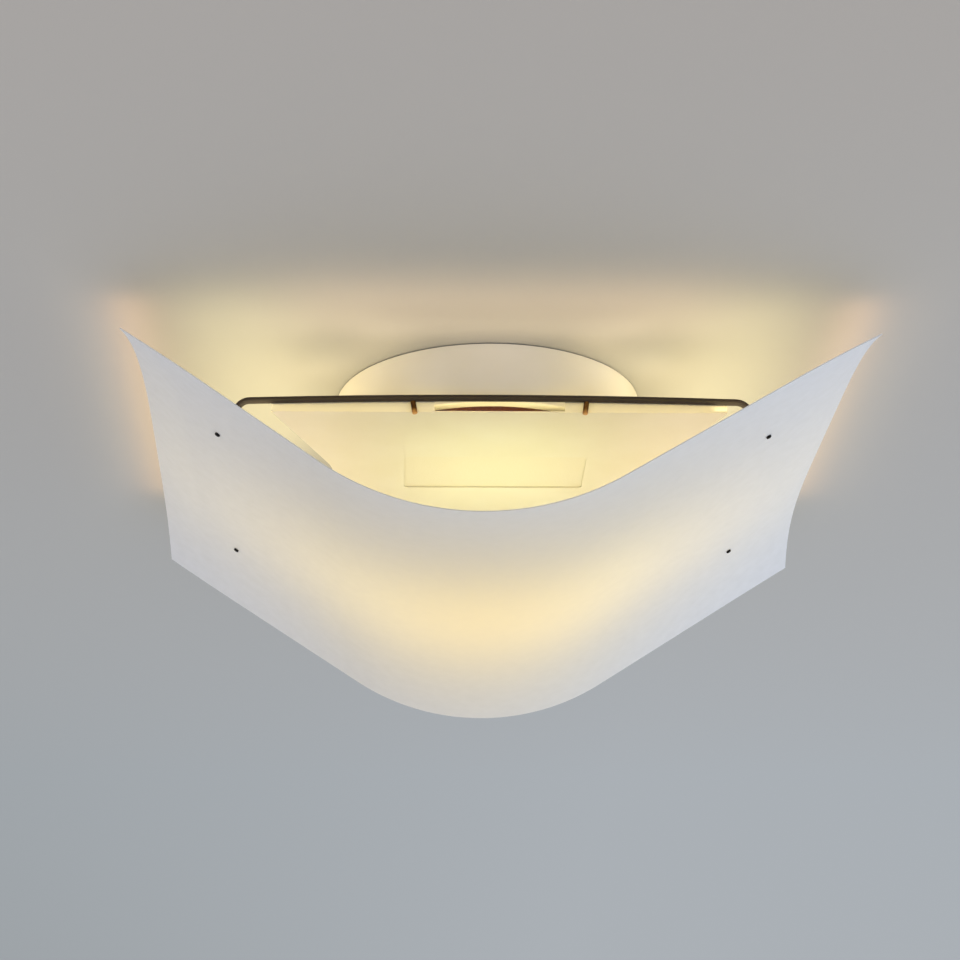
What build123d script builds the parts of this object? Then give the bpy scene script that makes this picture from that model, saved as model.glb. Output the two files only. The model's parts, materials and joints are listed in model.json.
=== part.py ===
from build123d import *
import math
import os

# A ceiling light: a sheet of stiff paper hangs in a trough from the bent ends of two steel rods.
# The rods are pegged to a sheet-metal tray, which hangs on posts under a round canopy.
# Millimetres. The origin is on the ceiling at the canopy's centre, X runs along the rods, Y from the
# near rod to the far one, and Z up. Sizes were read from the photograph unless a comment says otherwise.

# Gaps between pieces
seat_gap = 0.3
running_gap = 0.5
screw_gap = 0.1
thread_gap = 0.05

# Pan-head screws: the head's rounding and its slot as shares of the head's height
head_rounding = 0.45
head_slot_width = 0.4
head_slot_depth = 0.35

# Ceiling plate
plate_thickness = 1.5
fixing_spacing = 100.0
fixing_slot_width = 5.0
fixing_slot_length = 12.0
cable_hole_radius = 8.0
cable_hole_x = -45.0
cable_hole_y = 85.0
tab_width = 16.0
tab_depth = 16.0
tab_thickness = 1.5

# Canopy drum
drum_radius = 126.5
drum_depth = 51.0
drum_wall = 1.0
drum_lip_width = 9.5
drum_edge_radius = 1.6
drum_ceiling_gap = 0.8
drum_screw_angle = 25.0
drum_screw_z = -9.0
drum_screw_radius = 1.5
drum_screw_length = 7.0
drum_screw_head_radius = 3.0
drum_screw_head_height = 2.0
drum_screw_head_clearance = 0.02

# Cable bush and terminal block
bush_flange_radius = 10.5
bush_flange_thickness = 2.5
bush_bore_radius = 4.0
bush_rounding = 1.0
block_x = 5.0
block_y = 90.0
block_length = 30.0
block_width = 17.0
block_base = 6.0
block_height = 13.0
block_pitch = 9.0
block_barrel_width = 7.0
block_corner = 1.5
block_wire_hole_radius = 1.7
block_wire_z = -9.5
block_screw_radius = 1.8
block_screw_offset = 5.0
block_screw_depth = 3.0
block_screw_slot_width = 0.8
block_screw_slot_depth = 0.65

# Earth terminal
earth_x = 45.0
earth_y = 88.0
earth_screw_radius = 1.6
earth_head_radius = 3.4
earth_head_height = 2.0
earth_tag_radius = 3.6
earth_tag_thickness = 0.8
earth_tag_reach = 12.0

# Tray. It hangs a little to the right of the canopy's centre, as the photograph shows.
tray_shift = 5.0
tray_thickness = 1.0
tray_underside_z = -61.7
tray_half_length = 180.0
tray_half_width = 130.0
tray_waist_half = 130.0
tray_waist_fillet = 60.0
flange_height = 12.0
notch_width = 103.0
opening_corner = 4.0

# Posts and the keyhole brackets that the tray hooks on
post_radius = 4.0
post_half_x = 82.0
post_half_y = 64.0
neck_radius = 2.0
hook_head_radius = 3.2
hook_head_height = 1.6
bracket_length = 26.0
bracket_width = 14.0
bracket_height = 8.0
bracket_sheet = 1.2
bracket_foot = 5.0
keyhole_offset = 8.0

# Satin glass and its rails. The glass is as long as the reflector over it.
glass_width = 80.0
glass_thickness = 3.0
glass_corner = 3.0
glass_arris = 0.4
glass_overlap = 5.0
rail_sheet = 1.0
rail_foot = 5.0
rail_lip = 4.5

# Reflector trough
reflector_sheet = 0.8
reflector_inner_half_foot = 48.0
reflector_inner_half_top = 24.0
reflector_riser = 6.2
reflector_height = 34.7
reflector_foot = 5.2
reflector_end_rise = 6.2
reflector_lead_hole_radius = 2.5
reflector_end_gap = 4.0

# Lamp, 118 mm overall, and its two sockets
lamp_z = -42.0
lamp_overall = 117.0
lamp_tube_radius = 5.0
lamp_tube_length = 84.0
lamp_tube_wall = 1.0
lamp_pinch_width = 6.0
lamp_pinch_thickness = 3.0
lamp_pinch_length = 10.0
lamp_cap_radius = 3.8
lamp_cap_length = 8.0
lamp_cap_rounding = 0.8
lamp_in_socket = 4.5
filament_radius = 0.6
holder_length = 22.0
holder_width = 14.0
holder_height = 24.0
holder_corner = 2.0
socket_radius = 4.6
socket_depth = 8.0
plunger_radius = 2.5
plunger_length = 10.2
plunger_tip_radius = 0.8
plunger_gap = 0.2
plunger_bore_depth = 12.0
plunger_hollow_radius = 1.8
plunger_hollow_depth = 6.0
lamp_travel = 2.5
spring_radius = 1.6
spring_wall = 0.5
holder_screw_inset = 10.0
holder_screw_radius = 1.5
holder_screw_depth = 8.0
holder_screw_head_radius = 2.6
holder_screw_head_height = 1.8

# Sleeved leads. A socket lead goes out over the reflector, round its end and back into the socket.
lead_radius = 1.2
lead_z = -34.0
lead_hole_depth = 3.0
lead_arc_share = 0.45
lead_straight = 8.0
lead_over_x = (36.0, 72.0)
lead_over_y = (56.0, 38.0)
lead_over_z = (-14.0, -17.5)
lead_loop_reach = 21.0
lead_loop_bulge = 2.0
lead_loop_y = (18.0, 3.0)
lead_loop_z = (-23.0, -32.0)
lead_loop_return = 9.0
# The earth lead bows out from the block and comes back up to its tag
earth_lead_bow_x = (9.0, 21.0)
earth_lead_bow_y = (-24.0, -21.0)
earth_lead_bow_z = (-8.5, -6.0)
earth_lead_landing_x = (15.0, 6.0)
earth_lead_landing_y = 8.0

# Rods
rod_radius = 2.75
rod_gap = 0.25
rod_centre_z = -50.9
rod_bow_half = 192.0
rod_bow_rise = 2.95
rod_bend_radius = 11.0
rod_end_angle = 57.0
rod_leg_length = 26.8
peg_radius = 2.1
peg_half_spacing = 69.0
peg_lean = 2.0
peg_bottom_z = -64.0
peg_arris = 0.4
peg_screw_z = -57.5
peg_screw_radius = 1.25
peg_screw_reach = 2.6
peg_screw_end_gap = 0.2
peg_screw_head_radius = 2.3
peg_screw_head_height = 1.6

# Paper sheet
sheet_length = 650.0
sheet_width = 500.0
sheet_thickness = 0.8
flap_length = 77.0
near_bottom = (-13.2, -190.9)
near_bottom_offset = -13.0
near_bend_radius = 206.7
near_left_angle = 35.9
near_right_angle = 30.9
far_bottom = (0.5, -201.6)
far_bottom_offset = 1.9
far_bend_radius = 199.0
far_left_angle = 34.1
far_right_angle = 32.8
# Further turn of the flaps outside the screws, left and right, from the near edge to the far one
flap_turns = [(-2.3, -3.6), (8.6, 10.4), (10.0, 11.5), (8.3, 9.6), (1.2, -0.6)]
paper_screw_radius = 1.25
paper_hole_radius = 1.6
paper_screw_head_radius = 2.2
paper_screw_head_height = 1.6
paper_screw_reach = 7.0

# Places worked out from the sizes above
drum_inner_radius = drum_radius - drum_wall
plate_radius = drum_inner_radius - running_gap
tray_top_z = tray_underside_z + tray_thickness
rod_y = tray_half_width + rod_gap + rod_radius
bracket_top_z = tray_top_z + bracket_height
glass_z = tray_top_z + seat_gap
rail_inner_y = glass_width / 2 + running_gap
rail_height = seat_gap + glass_thickness + running_gap + rail_sheet
reflector_top_z = tray_top_z + reflector_height
block_z = -plate_thickness - block_height
cap_end = lamp_overall / 2
holder_start = cap_end - lamp_in_socket
holder_screw_x = holder_start + holder_length - holder_screw_inset
reflector_length = 2 * (holder_start + holder_length + reflector_end_gap)
glass_length = reflector_length
opening_length = glass_length - 2 * glass_overlap
opening_width = glass_width - 2 * glass_overlap
socket_floor = holder_start + socket_depth
bore_end = socket_floor + plunger_bore_depth


def box_between(low, high):
    centre = [(a + b) / 2 for a, b in zip(low, high)]
    return Pos(*centre) * Box(*[b - a for a, b in zip(low, high)])


def rod_between(start, end, radius):
    direction = Vector(*end) - Vector(*start)
    plane = Plane(origin=start, z_dir=direction)
    return extrude(plane * Circle(radius), direction.length)


def four_corners(half_x, half_y):
    return [(tray_shift + sx * half_x, sy * half_y) for sx in (-1, 1) for sy in (-1, 1)]


def pan_screw(radius, length, head_radius, head_height):
    # The seat under the head is at the origin, the shank runs down and the head stands up.
    shank = Pos(0, 0, -length / 2) * Cylinder(radius, length)
    head = Pos(0, 0, head_height / 2) * Cylinder(head_radius, head_height)
    head = fillet(head.edges().sort_by(Axis.Z)[-1], head_height * head_rounding)
    slot_height = 2 * head_height * head_slot_depth
    slot = Pos(0, 0, head_height) * Box(2 * head_radius, head_height * head_slot_width, slot_height)
    return shank + (head - slot)


# The plate's tabs and the drum's screws stand at these two angles
drum_screw_angles = [drum_screw_angle, 180.0 - drum_screw_angle]


def at_drum_angle(angle, radius, z):
    return Rot(0, 0, angle) * Pos(radius, 0, z) * Rot(0, 90, 0)


def drum_screw_holes():
    reach = drum_screw_length + drum_screw_head_height
    hole = Cylinder(drum_screw_radius + screw_gap, 2 * reach)
    return [at_drum_angle(angle, drum_radius, drum_screw_z) * hole for angle in drum_screw_angles]


def mounting_plate():
    plate = Pos(0, 0, -plate_thickness / 2) * Cylinder(plate_radius, plate_thickness)
    slot = SlotOverall(fixing_slot_length, fixing_slot_width)
    for side in (-1, 1):
        cut = Pos(side * fixing_spacing / 2, 0, -plate_thickness) * slot
        plate -= extrude(cut, plate_thickness)
    plate -= Pos(cable_hole_x, cable_hole_y, 0) * Cylinder(cable_hole_radius, 4 * plate_thickness)
    plate -= Pos(earth_x, earth_y, 0) * Cylinder(earth_screw_radius + screw_gap, 4 * plate_thickness)
    ring = Cylinder(plate_radius, tab_depth) - Cylinder(plate_radius - tab_thickness, tab_depth)
    for angle in drum_screw_angles:
        sector = Rot(0, 0, angle) * Pos(plate_radius, 0, 0) * Box(plate_radius, tab_width, tab_depth)
        plate += Pos(0, 0, -tab_depth / 2) * (ring & sector)
    for hole in drum_screw_holes():
        plate -= hole
    return plate


def canopy_drum():
    top = -drum_ceiling_gap
    half_section = Rectangle(drum_radius, drum_depth + top)
    body = revolve(Plane.XZ * Pos(drum_radius / 2, (top - drum_depth) / 2) * half_section, Axis.Z)
    bottom_edge = body.edges().filter_by(GeomType.CIRCLE).sort_by(Axis.Z)[0]
    body = fillet(bottom_edge, drum_edge_radius)
    inner_height = drum_depth - drum_wall
    body -= Pos(0, 0, -inner_height / 2) * Cylinder(drum_inner_radius, inner_height)
    body -= Pos(0, 0, -drum_depth) * Cylinder(drum_radius - drum_lip_width, 4 * drum_wall)
    for hole in drum_screw_holes():
        body -= hole
    return body


def drum_screws():
    screw = pan_screw(drum_screw_radius, drum_screw_length, drum_screw_head_radius, drum_screw_head_height)
    seat = drum_radius + drum_screw_head_clearance
    return [at_drum_angle(angle, seat, drum_screw_z) * screw for angle in drum_screw_angles]


def cable_grommet():
    neck = Pos(0, 0, -plate_thickness / 2) * Cylinder(cable_hole_radius - screw_gap, plate_thickness)
    flange_z = -plate_thickness - bush_flange_thickness / 2
    flange = Pos(0, 0, flange_z) * Cylinder(bush_flange_radius, bush_flange_thickness)
    flange = fillet(flange.edges().sort_by(Axis.Z)[0], bush_rounding)
    bush = neck + flange - Cylinder(bush_bore_radius, 4 * bush_flange_thickness)
    return Pos(cable_hole_x, cable_hole_y, 0) * bush


def block_poles():
    return [block_x + block_pitch * step for step in (-1, 0, 1)]


def block_screw_places():
    return [(x, block_y + side * block_screw_offset) for x in block_poles() for side in (-1, 1)]


def terminal_block():
    base_z = -plate_thickness - block_base / 2
    block = Pos(block_x, block_y, base_z) * Box(block_length, block_width, block_base)
    barrel_height = block_height - block_base
    barrel = Box(block_barrel_width, block_width, barrel_height)
    barrel = fillet(barrel.edges().filter_by(Axis.Y).sort_by(Axis.Z)[:2], block_corner)
    for x in block_poles():
        block += Pos(x, block_y, block_z + barrel_height / 2) * barrel
    for x in block_poles():
        hole = Cylinder(block_wire_hole_radius, 2 * block_width)
        block -= Pos(x, block_y, block_wire_z) * Rot(90, 0, 0) * hole
    for x, y in block_screw_places():
        well = Cylinder(block_screw_radius + screw_gap, 2 * block_screw_depth)
        block -= Pos(x, y, block_z) * well
    return block


def terminal_screws():
    height = block_screw_depth - block_wire_hole_radius + seat_gap
    screw = Cylinder(block_screw_radius, height)
    slot_height = 2 * block_screw_slot_depth
    screw -= Pos(0, 0, -height / 2) * Box(2 * block_screw_radius, block_screw_slot_width, slot_height)
    top = block_z + block_screw_depth
    return [Pos(x, y, top - height / 2) * screw for x, y in block_screw_places()]


def earth_screw():
    screw = pan_screw(earth_screw_radius, plate_thickness + earth_tag_thickness,
                      earth_head_radius, earth_head_height)
    seat_z = -plate_thickness - earth_tag_thickness
    return Pos(earth_x, earth_y, seat_z) * Rot(180, 0, 0) * screw


def earth_tag():
    z = -plate_thickness - earth_tag_thickness / 2
    ring = Cylinder(earth_tag_radius, earth_tag_thickness)
    tail_centre = -(earth_tag_reach + earth_screw_radius) / 2 - screw_gap
    tail_length = earth_tag_reach - earth_screw_radius - 2 * screw_gap
    tail = Pos(tail_centre, 0, 0) * Box(tail_length, 2 * lead_radius, earth_tag_thickness)
    tag = ring + tail - Cylinder(earth_screw_radius + screw_gap, 4 * earth_tag_thickness)
    return Pos(earth_x, earth_y, z) * tag


def lead(points):
    # Straight runs joined by arcs as large as the two runs allow.
    vectors = [Vector(*point) for point in points]
    radii = []
    for before, corner, after in zip(vectors, vectors[1:], vectors[2:]):
        arriving, leaving = corner - before, after - corner
        turn = math.radians(arriving.get_angle(leaving))
        shorter = min(arriving.length, leaving.length)
        radii.append(lead_arc_share * shorter / math.tan(turn / 2))
    print("lead radii", [round(radius, 1) for radius in radii])
    path = FilletPolyline(*points, radius=radii)
    return sweep(Plane(origin=path @ 0, z_dir=path % 0) * Circle(lead_radius), path)


def block_wire_start(x):
    inside = block_y - block_width / 2 + lead_hole_depth
    outside = block_y - block_width / 2 - lead_straight
    return [(x, inside, block_wire_z), (x, outside, block_wire_z)]


def socket_lead(side):
    pole = block_poles()[0] if side < 0 else block_poles()[2]
    entry = tray_shift + side * (holder_start + holder_length - lead_hole_depth)
    reflector_end = reflector_length / 2
    out = list(lead_over_x)
    out += [reflector_end + lead_loop_reach, reflector_end + lead_loop_reach + lead_loop_bulge]
    route = zip(out, lead_over_y + lead_loop_y, lead_over_z + lead_loop_z)
    points = block_wire_start(pole)
    points += [(tray_shift + side * x, y, z) for x, y, z in route]
    turn = tray_shift + side * (reflector_end + lead_loop_return)
    points += [(turn, 0.0, lead_z), (entry, 0.0, lead_z)]
    return lead(points)


def earth_lead():
    tag_z = -plate_thickness - earth_tag_thickness - lead_radius
    points = block_wire_start(block_poles()[1])
    bow = zip(earth_lead_bow_x, earth_lead_bow_y, earth_lead_bow_z)
    points += [(block_x + x, block_y + y, z) for x, y, z in bow]
    points += [(earth_x - earth_lead_landing_x[0], earth_y - earth_lead_landing_y, tag_z),
               (earth_x - earth_lead_landing_x[1], earth_y, tag_z)]
    return lead(points)


def tray_outline():
    corners = [(-tray_half_length, -tray_half_width), (tray_half_length, -tray_half_width),
               (tray_waist_half, 0), (tray_half_length, tray_half_width),
               (-tray_half_length, tray_half_width), (-tray_waist_half, 0)]
    outline = make_face(Polyline(*corners, close=True))
    waist = [v for v in outline.vertices() if abs(v.Y) < 1]
    return fillet(waist, tray_waist_fillet)


def tray():
    floor = extrude(Pos(0, 0, tray_underside_z) * tray_outline(), tray_thickness)
    flange_top = tray_underside_z + flange_height
    for side in (-1, 1):
        outer, inner = side * tray_half_width, side * (tray_half_width - tray_thickness)
        low_y, high_y = min(outer, inner), max(outer, inner)
        flange = box_between((-tray_half_length, low_y, tray_underside_z),
                             (tray_half_length, high_y, flange_top))
        notch = box_between((-notch_width / 2, low_y - 1, tray_top_z),
                            (notch_width / 2, high_y + 1, flange_top + 1))
        floor += flange - notch
    opening = RectangleRounded(opening_length, opening_width, opening_corner)
    floor -= extrude(Pos(0, 0, tray_underside_z - 1) * opening, 4 * tray_thickness)
    floor = Pos(tray_shift, 0, 0) * floor
    for x, side in peg_places():
        reach = 4 * tray_thickness
        hole = Rot(90, 0, 0) * Cylinder(peg_screw_radius + screw_gap, reach)
        floor -= Pos(peg_x(x, peg_screw_z), side * tray_half_width, peg_screw_z) * hole
    return floor


def spacer_posts():
    length = -plate_thickness - bracket_top_z
    neck = bracket_sheet + screw_gap
    body = Pos(0, 0, bracket_top_z + length / 2) * Cylinder(post_radius, length)
    body += Pos(0, 0, bracket_top_z - neck / 2) * Cylinder(neck_radius, neck)
    head_z = bracket_top_z - neck - hook_head_height / 2
    body += Pos(0, 0, head_z) * Cylinder(hook_head_radius, hook_head_height)
    return [Pos(x, y, 0) * body for x, y in four_corners(post_half_x, post_half_y)]


def hanger_brackets():
    # Keyhole brackets, welded by their feet. The post's head drops through the hole and slides along.
    hat = Box(bracket_length, bracket_width, bracket_height)
    hollow = Box(bracket_length - 2 * bracket_sheet, bracket_width, bracket_height)
    hat -= Pos(0, 0, -bracket_sheet) * hollow
    foot_z = -bracket_height / 2 + bracket_sheet / 2
    for side in (-1, 1):
        foot_x = side * (bracket_length + bracket_foot) / 2
        hat += Pos(foot_x, 0, foot_z) * Box(bracket_foot, bracket_width, bracket_sheet)
    shift = keyhole_offset / 2
    slot = Pos(-shift, 0) * Circle(neck_radius + screw_gap)
    slot += Pos(shift, 0) * Circle(hook_head_radius + running_gap)
    slot += Rectangle(keyhole_offset, 2 * (neck_radius + screw_gap))
    hat -= extrude(Pos(0, 0, bracket_height / 2 - 2 * bracket_sheet) * slot, 4 * bracket_sheet)
    z = tray_top_z + bracket_height / 2
    return [Pos(x + shift, y, z) * hat for x, y in four_corners(post_half_x, post_half_y)]


def pane_rails():
    rails = []
    inner = rail_inner_y
    half = glass_length / 2
    for side in (-1, 1):
        riser = box_between((-half, inner, 0), (half, inner + rail_sheet, rail_height))
        lip = box_between((-half, inner - rail_lip, rail_height - rail_sheet), (half, inner, rail_height))
        foot = box_between((-half, inner, 0), (half, inner + rail_foot, rail_sheet))
        rail = riser + lip + foot
        rails.append(Pos(tray_shift, 0, tray_top_z) * (rail if side > 0 else mirror(rail, Plane.XZ)))
    return rails


def glass_pane():
    pane = extrude(RectangleRounded(glass_length, glass_width, glass_corner), glass_thickness)
    rims = pane.edges().group_by(Axis.Z)[0] + pane.edges().group_by(Axis.Z)[-1]
    pane = chamfer(rims, glass_arris)
    return Pos(tray_shift, 0, glass_z) * pane


def reflector_section(grow):
    # Half trapezoid on risers, as seen from the end. grow is the offset from the inner face.
    slope = math.atan2(reflector_height - reflector_sheet - reflector_riser,
                       reflector_inner_half_foot - reflector_inner_half_top)
    knee = grow * math.tan((math.pi / 2 - slope) / 2)
    shoulder = grow * math.tan(slope / 2)
    foot = reflector_inner_half_foot + grow
    top = reflector_inner_half_top + shoulder
    roof = reflector_height - reflector_sheet + grow
    points = [(-foot, 0), (-foot, reflector_riser + knee), (-top, roof),
              (top, roof), (foot, reflector_riser + knee), (foot, 0)]
    plane = Plane(origin=(-reflector_length / 2, 0, 0), x_dir=(0, 1, 0), z_dir=(1, 0, 0))
    return plane * make_face(Polyline(*points, close=True))


def reflector():
    shell = extrude(reflector_section(reflector_sheet), reflector_length)
    inside = extrude(reflector_section(0), reflector_length)
    shell -= inside
    for side in (-1, 1):
        low_x = side * reflector_length / 2 - (reflector_sheet if side > 0 else 0)
        slice_box = box_between((low_x, -tray_half_width, reflector_end_rise),
                                (low_x + reflector_sheet, tray_half_width, reflector_height))
        end_plate = inside & slice_box
        hole = Pos(low_x, 0, lead_z - tray_top_z) * Rot(0, 90, 0) * Cylinder(reflector_lead_hole_radius, 4)
        shell += end_plate - hole
        inner = side * reflector_inner_half_foot
        outer = inner + side * reflector_foot
        shell += box_between((-reflector_length / 2, min(inner, outer), 0),
                             (reflector_length / 2, max(inner, outer), reflector_sheet))
        screw_hole = Cylinder(holder_screw_radius + screw_gap, 4)
        shell -= Pos(side * holder_screw_x, 0, reflector_height) * screw_hole
    return Pos(tray_shift, 0, tray_top_z) * shell


def lampholder():
    # The right-hand socket about the lamp's centre, with its mouth towards the lamp.
    top_z = reflector_top_z - reflector_sheet
    block = box_between((holder_start, -holder_width / 2, top_z - holder_height),
                        (holder_start + holder_length, holder_width / 2, top_z))
    block = fillet(block.edges().filter_by(Axis.Z), holder_corner)
    turned = Pos(0, 0, lamp_z) * Rot(0, 90, 0)
    block -= turned * Pos(0, 0, holder_start + socket_depth / 2) * Cylinder(socket_radius, socket_depth)
    bore_centre = socket_floor + plunger_bore_depth / 2
    block -= turned * Pos(0, 0, bore_centre) * Cylinder(plunger_radius + screw_gap, plunger_bore_depth)
    lead_hole = Pos(holder_start + holder_length, 0, lead_z) * Rot(0, 90, 0)
    block -= lead_hole * Cylinder(lead_radius + screw_gap, 2 * lead_hole_depth)
    screw_hole = Cylinder(holder_screw_radius + screw_gap, 2 * holder_screw_depth)
    return block - Pos(holder_screw_x, 0, top_z) * screw_hole


def contact():
    tip = cap_end + plunger_gap
    plunger = Cylinder(plunger_radius, plunger_length)
    plunger = fillet(plunger.edges().sort_by(Axis.Z)[0], plunger_tip_radius)
    hollow_z = plunger_length / 2 - plunger_hollow_depth / 2
    plunger -= Pos(0, 0, hollow_z) * Cylinder(plunger_hollow_radius, plunger_hollow_depth)
    return Pos(tip + plunger_length / 2, 0, lamp_z) * Rot(0, 90, 0) * plunger


def contact_spring():
    # Kept at its pressed length, so that the plunger's travel stays clear of it.
    hollow_floor = cap_end + plunger_gap + plunger_length - plunger_hollow_depth
    start = hollow_floor + lamp_travel + seat_gap
    length = bore_end - start
    spring = Cylinder(spring_radius, length) - Cylinder(spring_radius - spring_wall, length)
    return Pos(start + length / 2, 0, lamp_z) * Rot(0, 90, 0) * spring


def holder_screw():
    screw = pan_screw(holder_screw_radius, holder_screw_depth,
                      holder_screw_head_radius, holder_screw_head_height)
    return Pos(holder_screw_x, 0, reflector_top_z) * screw


def to_left(piece):
    return mirror(piece, Plane.YZ)


def on_tray(piece):
    return Pos(tray_shift, 0, 0) * piece


def lamp_tube():
    tube = Cylinder(lamp_tube_radius, lamp_tube_length)
    tube = fillet(tube.edges().filter_by(GeomType.CIRCLE), lamp_tube_radius * 0.5)
    tube -= Cylinder(lamp_tube_radius - lamp_tube_wall, lamp_tube_length - 2 * lamp_tube_wall)
    pinch_start = lamp_tube_length / 2 - lamp_tube_wall / 2
    pinch_end = lamp_tube_length / 2 + lamp_pinch_length
    for side in (-1, 1):
        centre = side * (pinch_start + pinch_end) / 2
        pinch = Box(lamp_pinch_width, lamp_pinch_thickness, pinch_end - pinch_start)
        tube += Pos(0, 0, centre) * pinch
    return Pos(0, 0, lamp_z) * Rot(0, 90, 0) * tube


def lamp_cap():
    # A ceramic cap with a slot for the tube's flat end.
    cap = Cylinder(lamp_cap_radius, lamp_cap_length)
    cap = fillet(cap.edges().sort_by(Axis.Z)[-1], lamp_cap_rounding)
    start = cap_end - lamp_cap_length
    slot_depth = lamp_tube_length / 2 + lamp_pinch_length - start + screw_gap
    slot = Box(lamp_pinch_width + 2 * screw_gap, lamp_pinch_thickness + 2 * screw_gap, 2 * slot_depth)
    cap -= Pos(0, 0, -lamp_cap_length / 2) * slot
    return Pos(start + lamp_cap_length / 2, 0, lamp_z) * Rot(0, 90, 0) * cap


def lamp_filament():
    length = lamp_tube_length - 2 * lamp_tube_wall
    return Pos(0, 0, lamp_z) * Rot(0, 90, 0) * Cylinder(filament_radius, length)


def peg_places():
    return [(side_x * peg_half_spacing, side_y) for side_x in (-1, 1) for side_y in (-1, 1)]


def peg_x(x, z):
    # The pegs lean in towards each other as they go down.
    drop = (rod_centre_z - z) / (rod_centre_z - peg_bottom_z)
    return tray_shift + x - math.copysign(peg_lean, x) * drop


def rod_path(y):
    bow_radius = (rod_bow_half ** 2 + rod_bow_rise ** 2) / (2 * rod_bow_rise)
    end_slope = math.degrees(math.asin(rod_bow_half / bow_radius))
    turn = rod_end_angle - end_slope
    end_z = rod_centre_z - rod_bow_rise
    bow = ThreePointArc((-rod_bow_half, end_z), (0, rod_centre_z), (rod_bow_half, end_z))
    bend = JernArc(bow @ 1, bow % 1, rod_bend_radius, -turn)
    leg = Line(bend @ 1, (bend @ 1) + (bend % 1) * rod_leg_length)
    plane = Plane(origin=(0, y, 0), x_dir=(1, 0, 0), z_dir=(0, -1, 0))
    half = bend + leg
    return plane * (mirror(half, Plane.YZ) + bow + half), leg @ 1, leg % 1


# The sheet's inner face meets the rod's end a seat gap below it
_, rod_tip, rod_end_direction = rod_path(rod_y)
pin_x = rod_tip.X + rod_end_direction.X * (seat_gap + sheet_thickness)
pin_z = rod_tip.Y + rod_end_direction.Y * (seat_gap + sheet_thickness)


def rod(y):
    path, tip, direction = rod_path(y)
    start = Plane(origin=path @ 0, z_dir=path % 0)
    bar = sweep(start * Circle(rod_radius), path)
    hole = Cylinder(paper_screw_radius + screw_gap, 2 * paper_screw_reach)
    for side in (-1, 1):
        bar -= Pos(side * tip.X, y, tip.Y) * Rot(0, side * (90.0 + rod_end_angle), 0) * hole
    return bar


def rod_pegs():
    pegs = []
    for x, side in peg_places():
        peg_y = side * (tray_half_width + peg_radius)
        bottom = (peg_x(x, peg_bottom_z), peg_y, peg_bottom_z)
        peg = rod_between(bottom, (peg_x(x, rod_centre_z), peg_y, rod_centre_z), peg_radius)
        peg = chamfer(peg.edges().sort_by(Axis.Z)[0], peg_arris)
        tapped = Rot(90, 0, 0) * Cylinder(peg_screw_radius + thread_gap, 2 * peg_screw_reach)
        peg -= Pos(peg_x(x, peg_screw_z), side * tray_half_width, peg_screw_z) * tapped
        pegs.append(peg - rod_solids[side])
    return pegs


def peg_screws():
    length = tray_thickness + peg_screw_reach - peg_screw_end_gap
    screw = pan_screw(peg_screw_radius, length, peg_screw_head_radius, peg_screw_head_height)
    placed = []
    for x, side in peg_places():
        seat_y = side * (tray_half_width - tray_thickness)
        place = Pos(peg_x(x, peg_screw_z), seat_y, peg_screw_z)
        placed.append(place * Rot(90 * side, 0, 0) * screw)
    return placed


def mix(near, far, share):
    return near + (far - near) * share


# One cross-section of the sheet: a round bottom, two straight wings, and flaps that turn further.
# Points are on the lower face or, with inset, on the upper one.
class SheetSection:
    def __init__(self, y, flap_turn):
        share = y / sheet_width + 0.5
        self.y = y
        self.radius = mix(near_bend_radius, far_bend_radius, share)
        self.angles = {-1: math.radians(mix(near_left_angle, far_left_angle, share)),
                       1: math.radians(mix(near_right_angle, far_right_angle, share))}
        self.turns = {-1: math.radians(flap_turn[0]), 1: math.radians(flap_turn[1])}
        offset = mix(near_bottom_offset, far_bottom_offset, share)
        reach = sheet_length / 2 - flap_length
        self.wings = {side: reach - side * offset - self.radius * self.angles[side] for side in (-1, 1)}
        if share == 0:
            self.bottom = near_bottom
        elif share == 1:
            self.bottom = far_bottom
        else:
            self.bottom = self.bottom_between_pins()

    def bottom_between_pins(self):
        # The straight wings pass through the left and right screws.
        rise, slope = {}, {}
        for side in (-1, 1):
            angle = self.angles[side]
            slope[side] = math.tan(angle)
            rise[side] = self.radius * (1 - math.cos(angle) - math.sin(angle) * slope[side])
        x = (rise[1] - rise[-1] + pin_x * (slope[1] - slope[-1])) / (slope[1] + slope[-1])
        return x, pin_z - rise[1] - (pin_x - x) * slope[1]

    def point(self, side, wing, flap, inset=0.0, bend=1.0):
        # bend, wing and flap are the shares of those stretches that lie before the point.
        heading = self.angles[side] * bend
        x = self.radius * math.sin(heading)
        z = self.radius * (1 - math.cos(heading))
        x += wing * self.wings[side] * math.cos(heading)
        z += wing * self.wings[side] * math.sin(heading)
        if flap:
            flap_radius = flap_length / self.turns[side]
            turned = heading + flap * self.turns[side]
            x += flap_radius * (math.sin(turned) - math.sin(heading))
            z += flap_radius * (math.cos(heading) - math.cos(turned))
            heading = turned
        x -= inset * math.sin(heading)
        z += inset * math.cos(heading)
        return self.bottom[0] + side * x, self.bottom[1] + z

    def line(self, inset):
        def flap(side):
            return [self.point(side, 1, share, inset) for share in (0, 0.5, 1)]
        left, right = flap(-1), flap(1)
        wing_left, wing_right = self.point(-1, 0, 0, inset), self.point(1, 0, 0, inset)
        lowest = (self.bottom[0], self.bottom[1] + inset)
        return [ThreePointArc(*reversed(left)), Line(left[0], wing_left),
                ThreePointArc(wing_left, lowest, wing_right),
                Line(wing_right, right[0]), ThreePointArc(*right)]

    def face(self):
        lower, upper = self.line(0.0), self.line(sheet_thickness)
        ends = [Line(lower[0] @ 0, upper[0] @ 0), Line(lower[-1] @ 1, upper[-1] @ 1)]
        plane = Plane(origin=(0, self.y, 0), x_dir=(1, 0, 0), z_dir=(0, -1, 0))
        return plane * make_face(lower + upper + ends)


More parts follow.
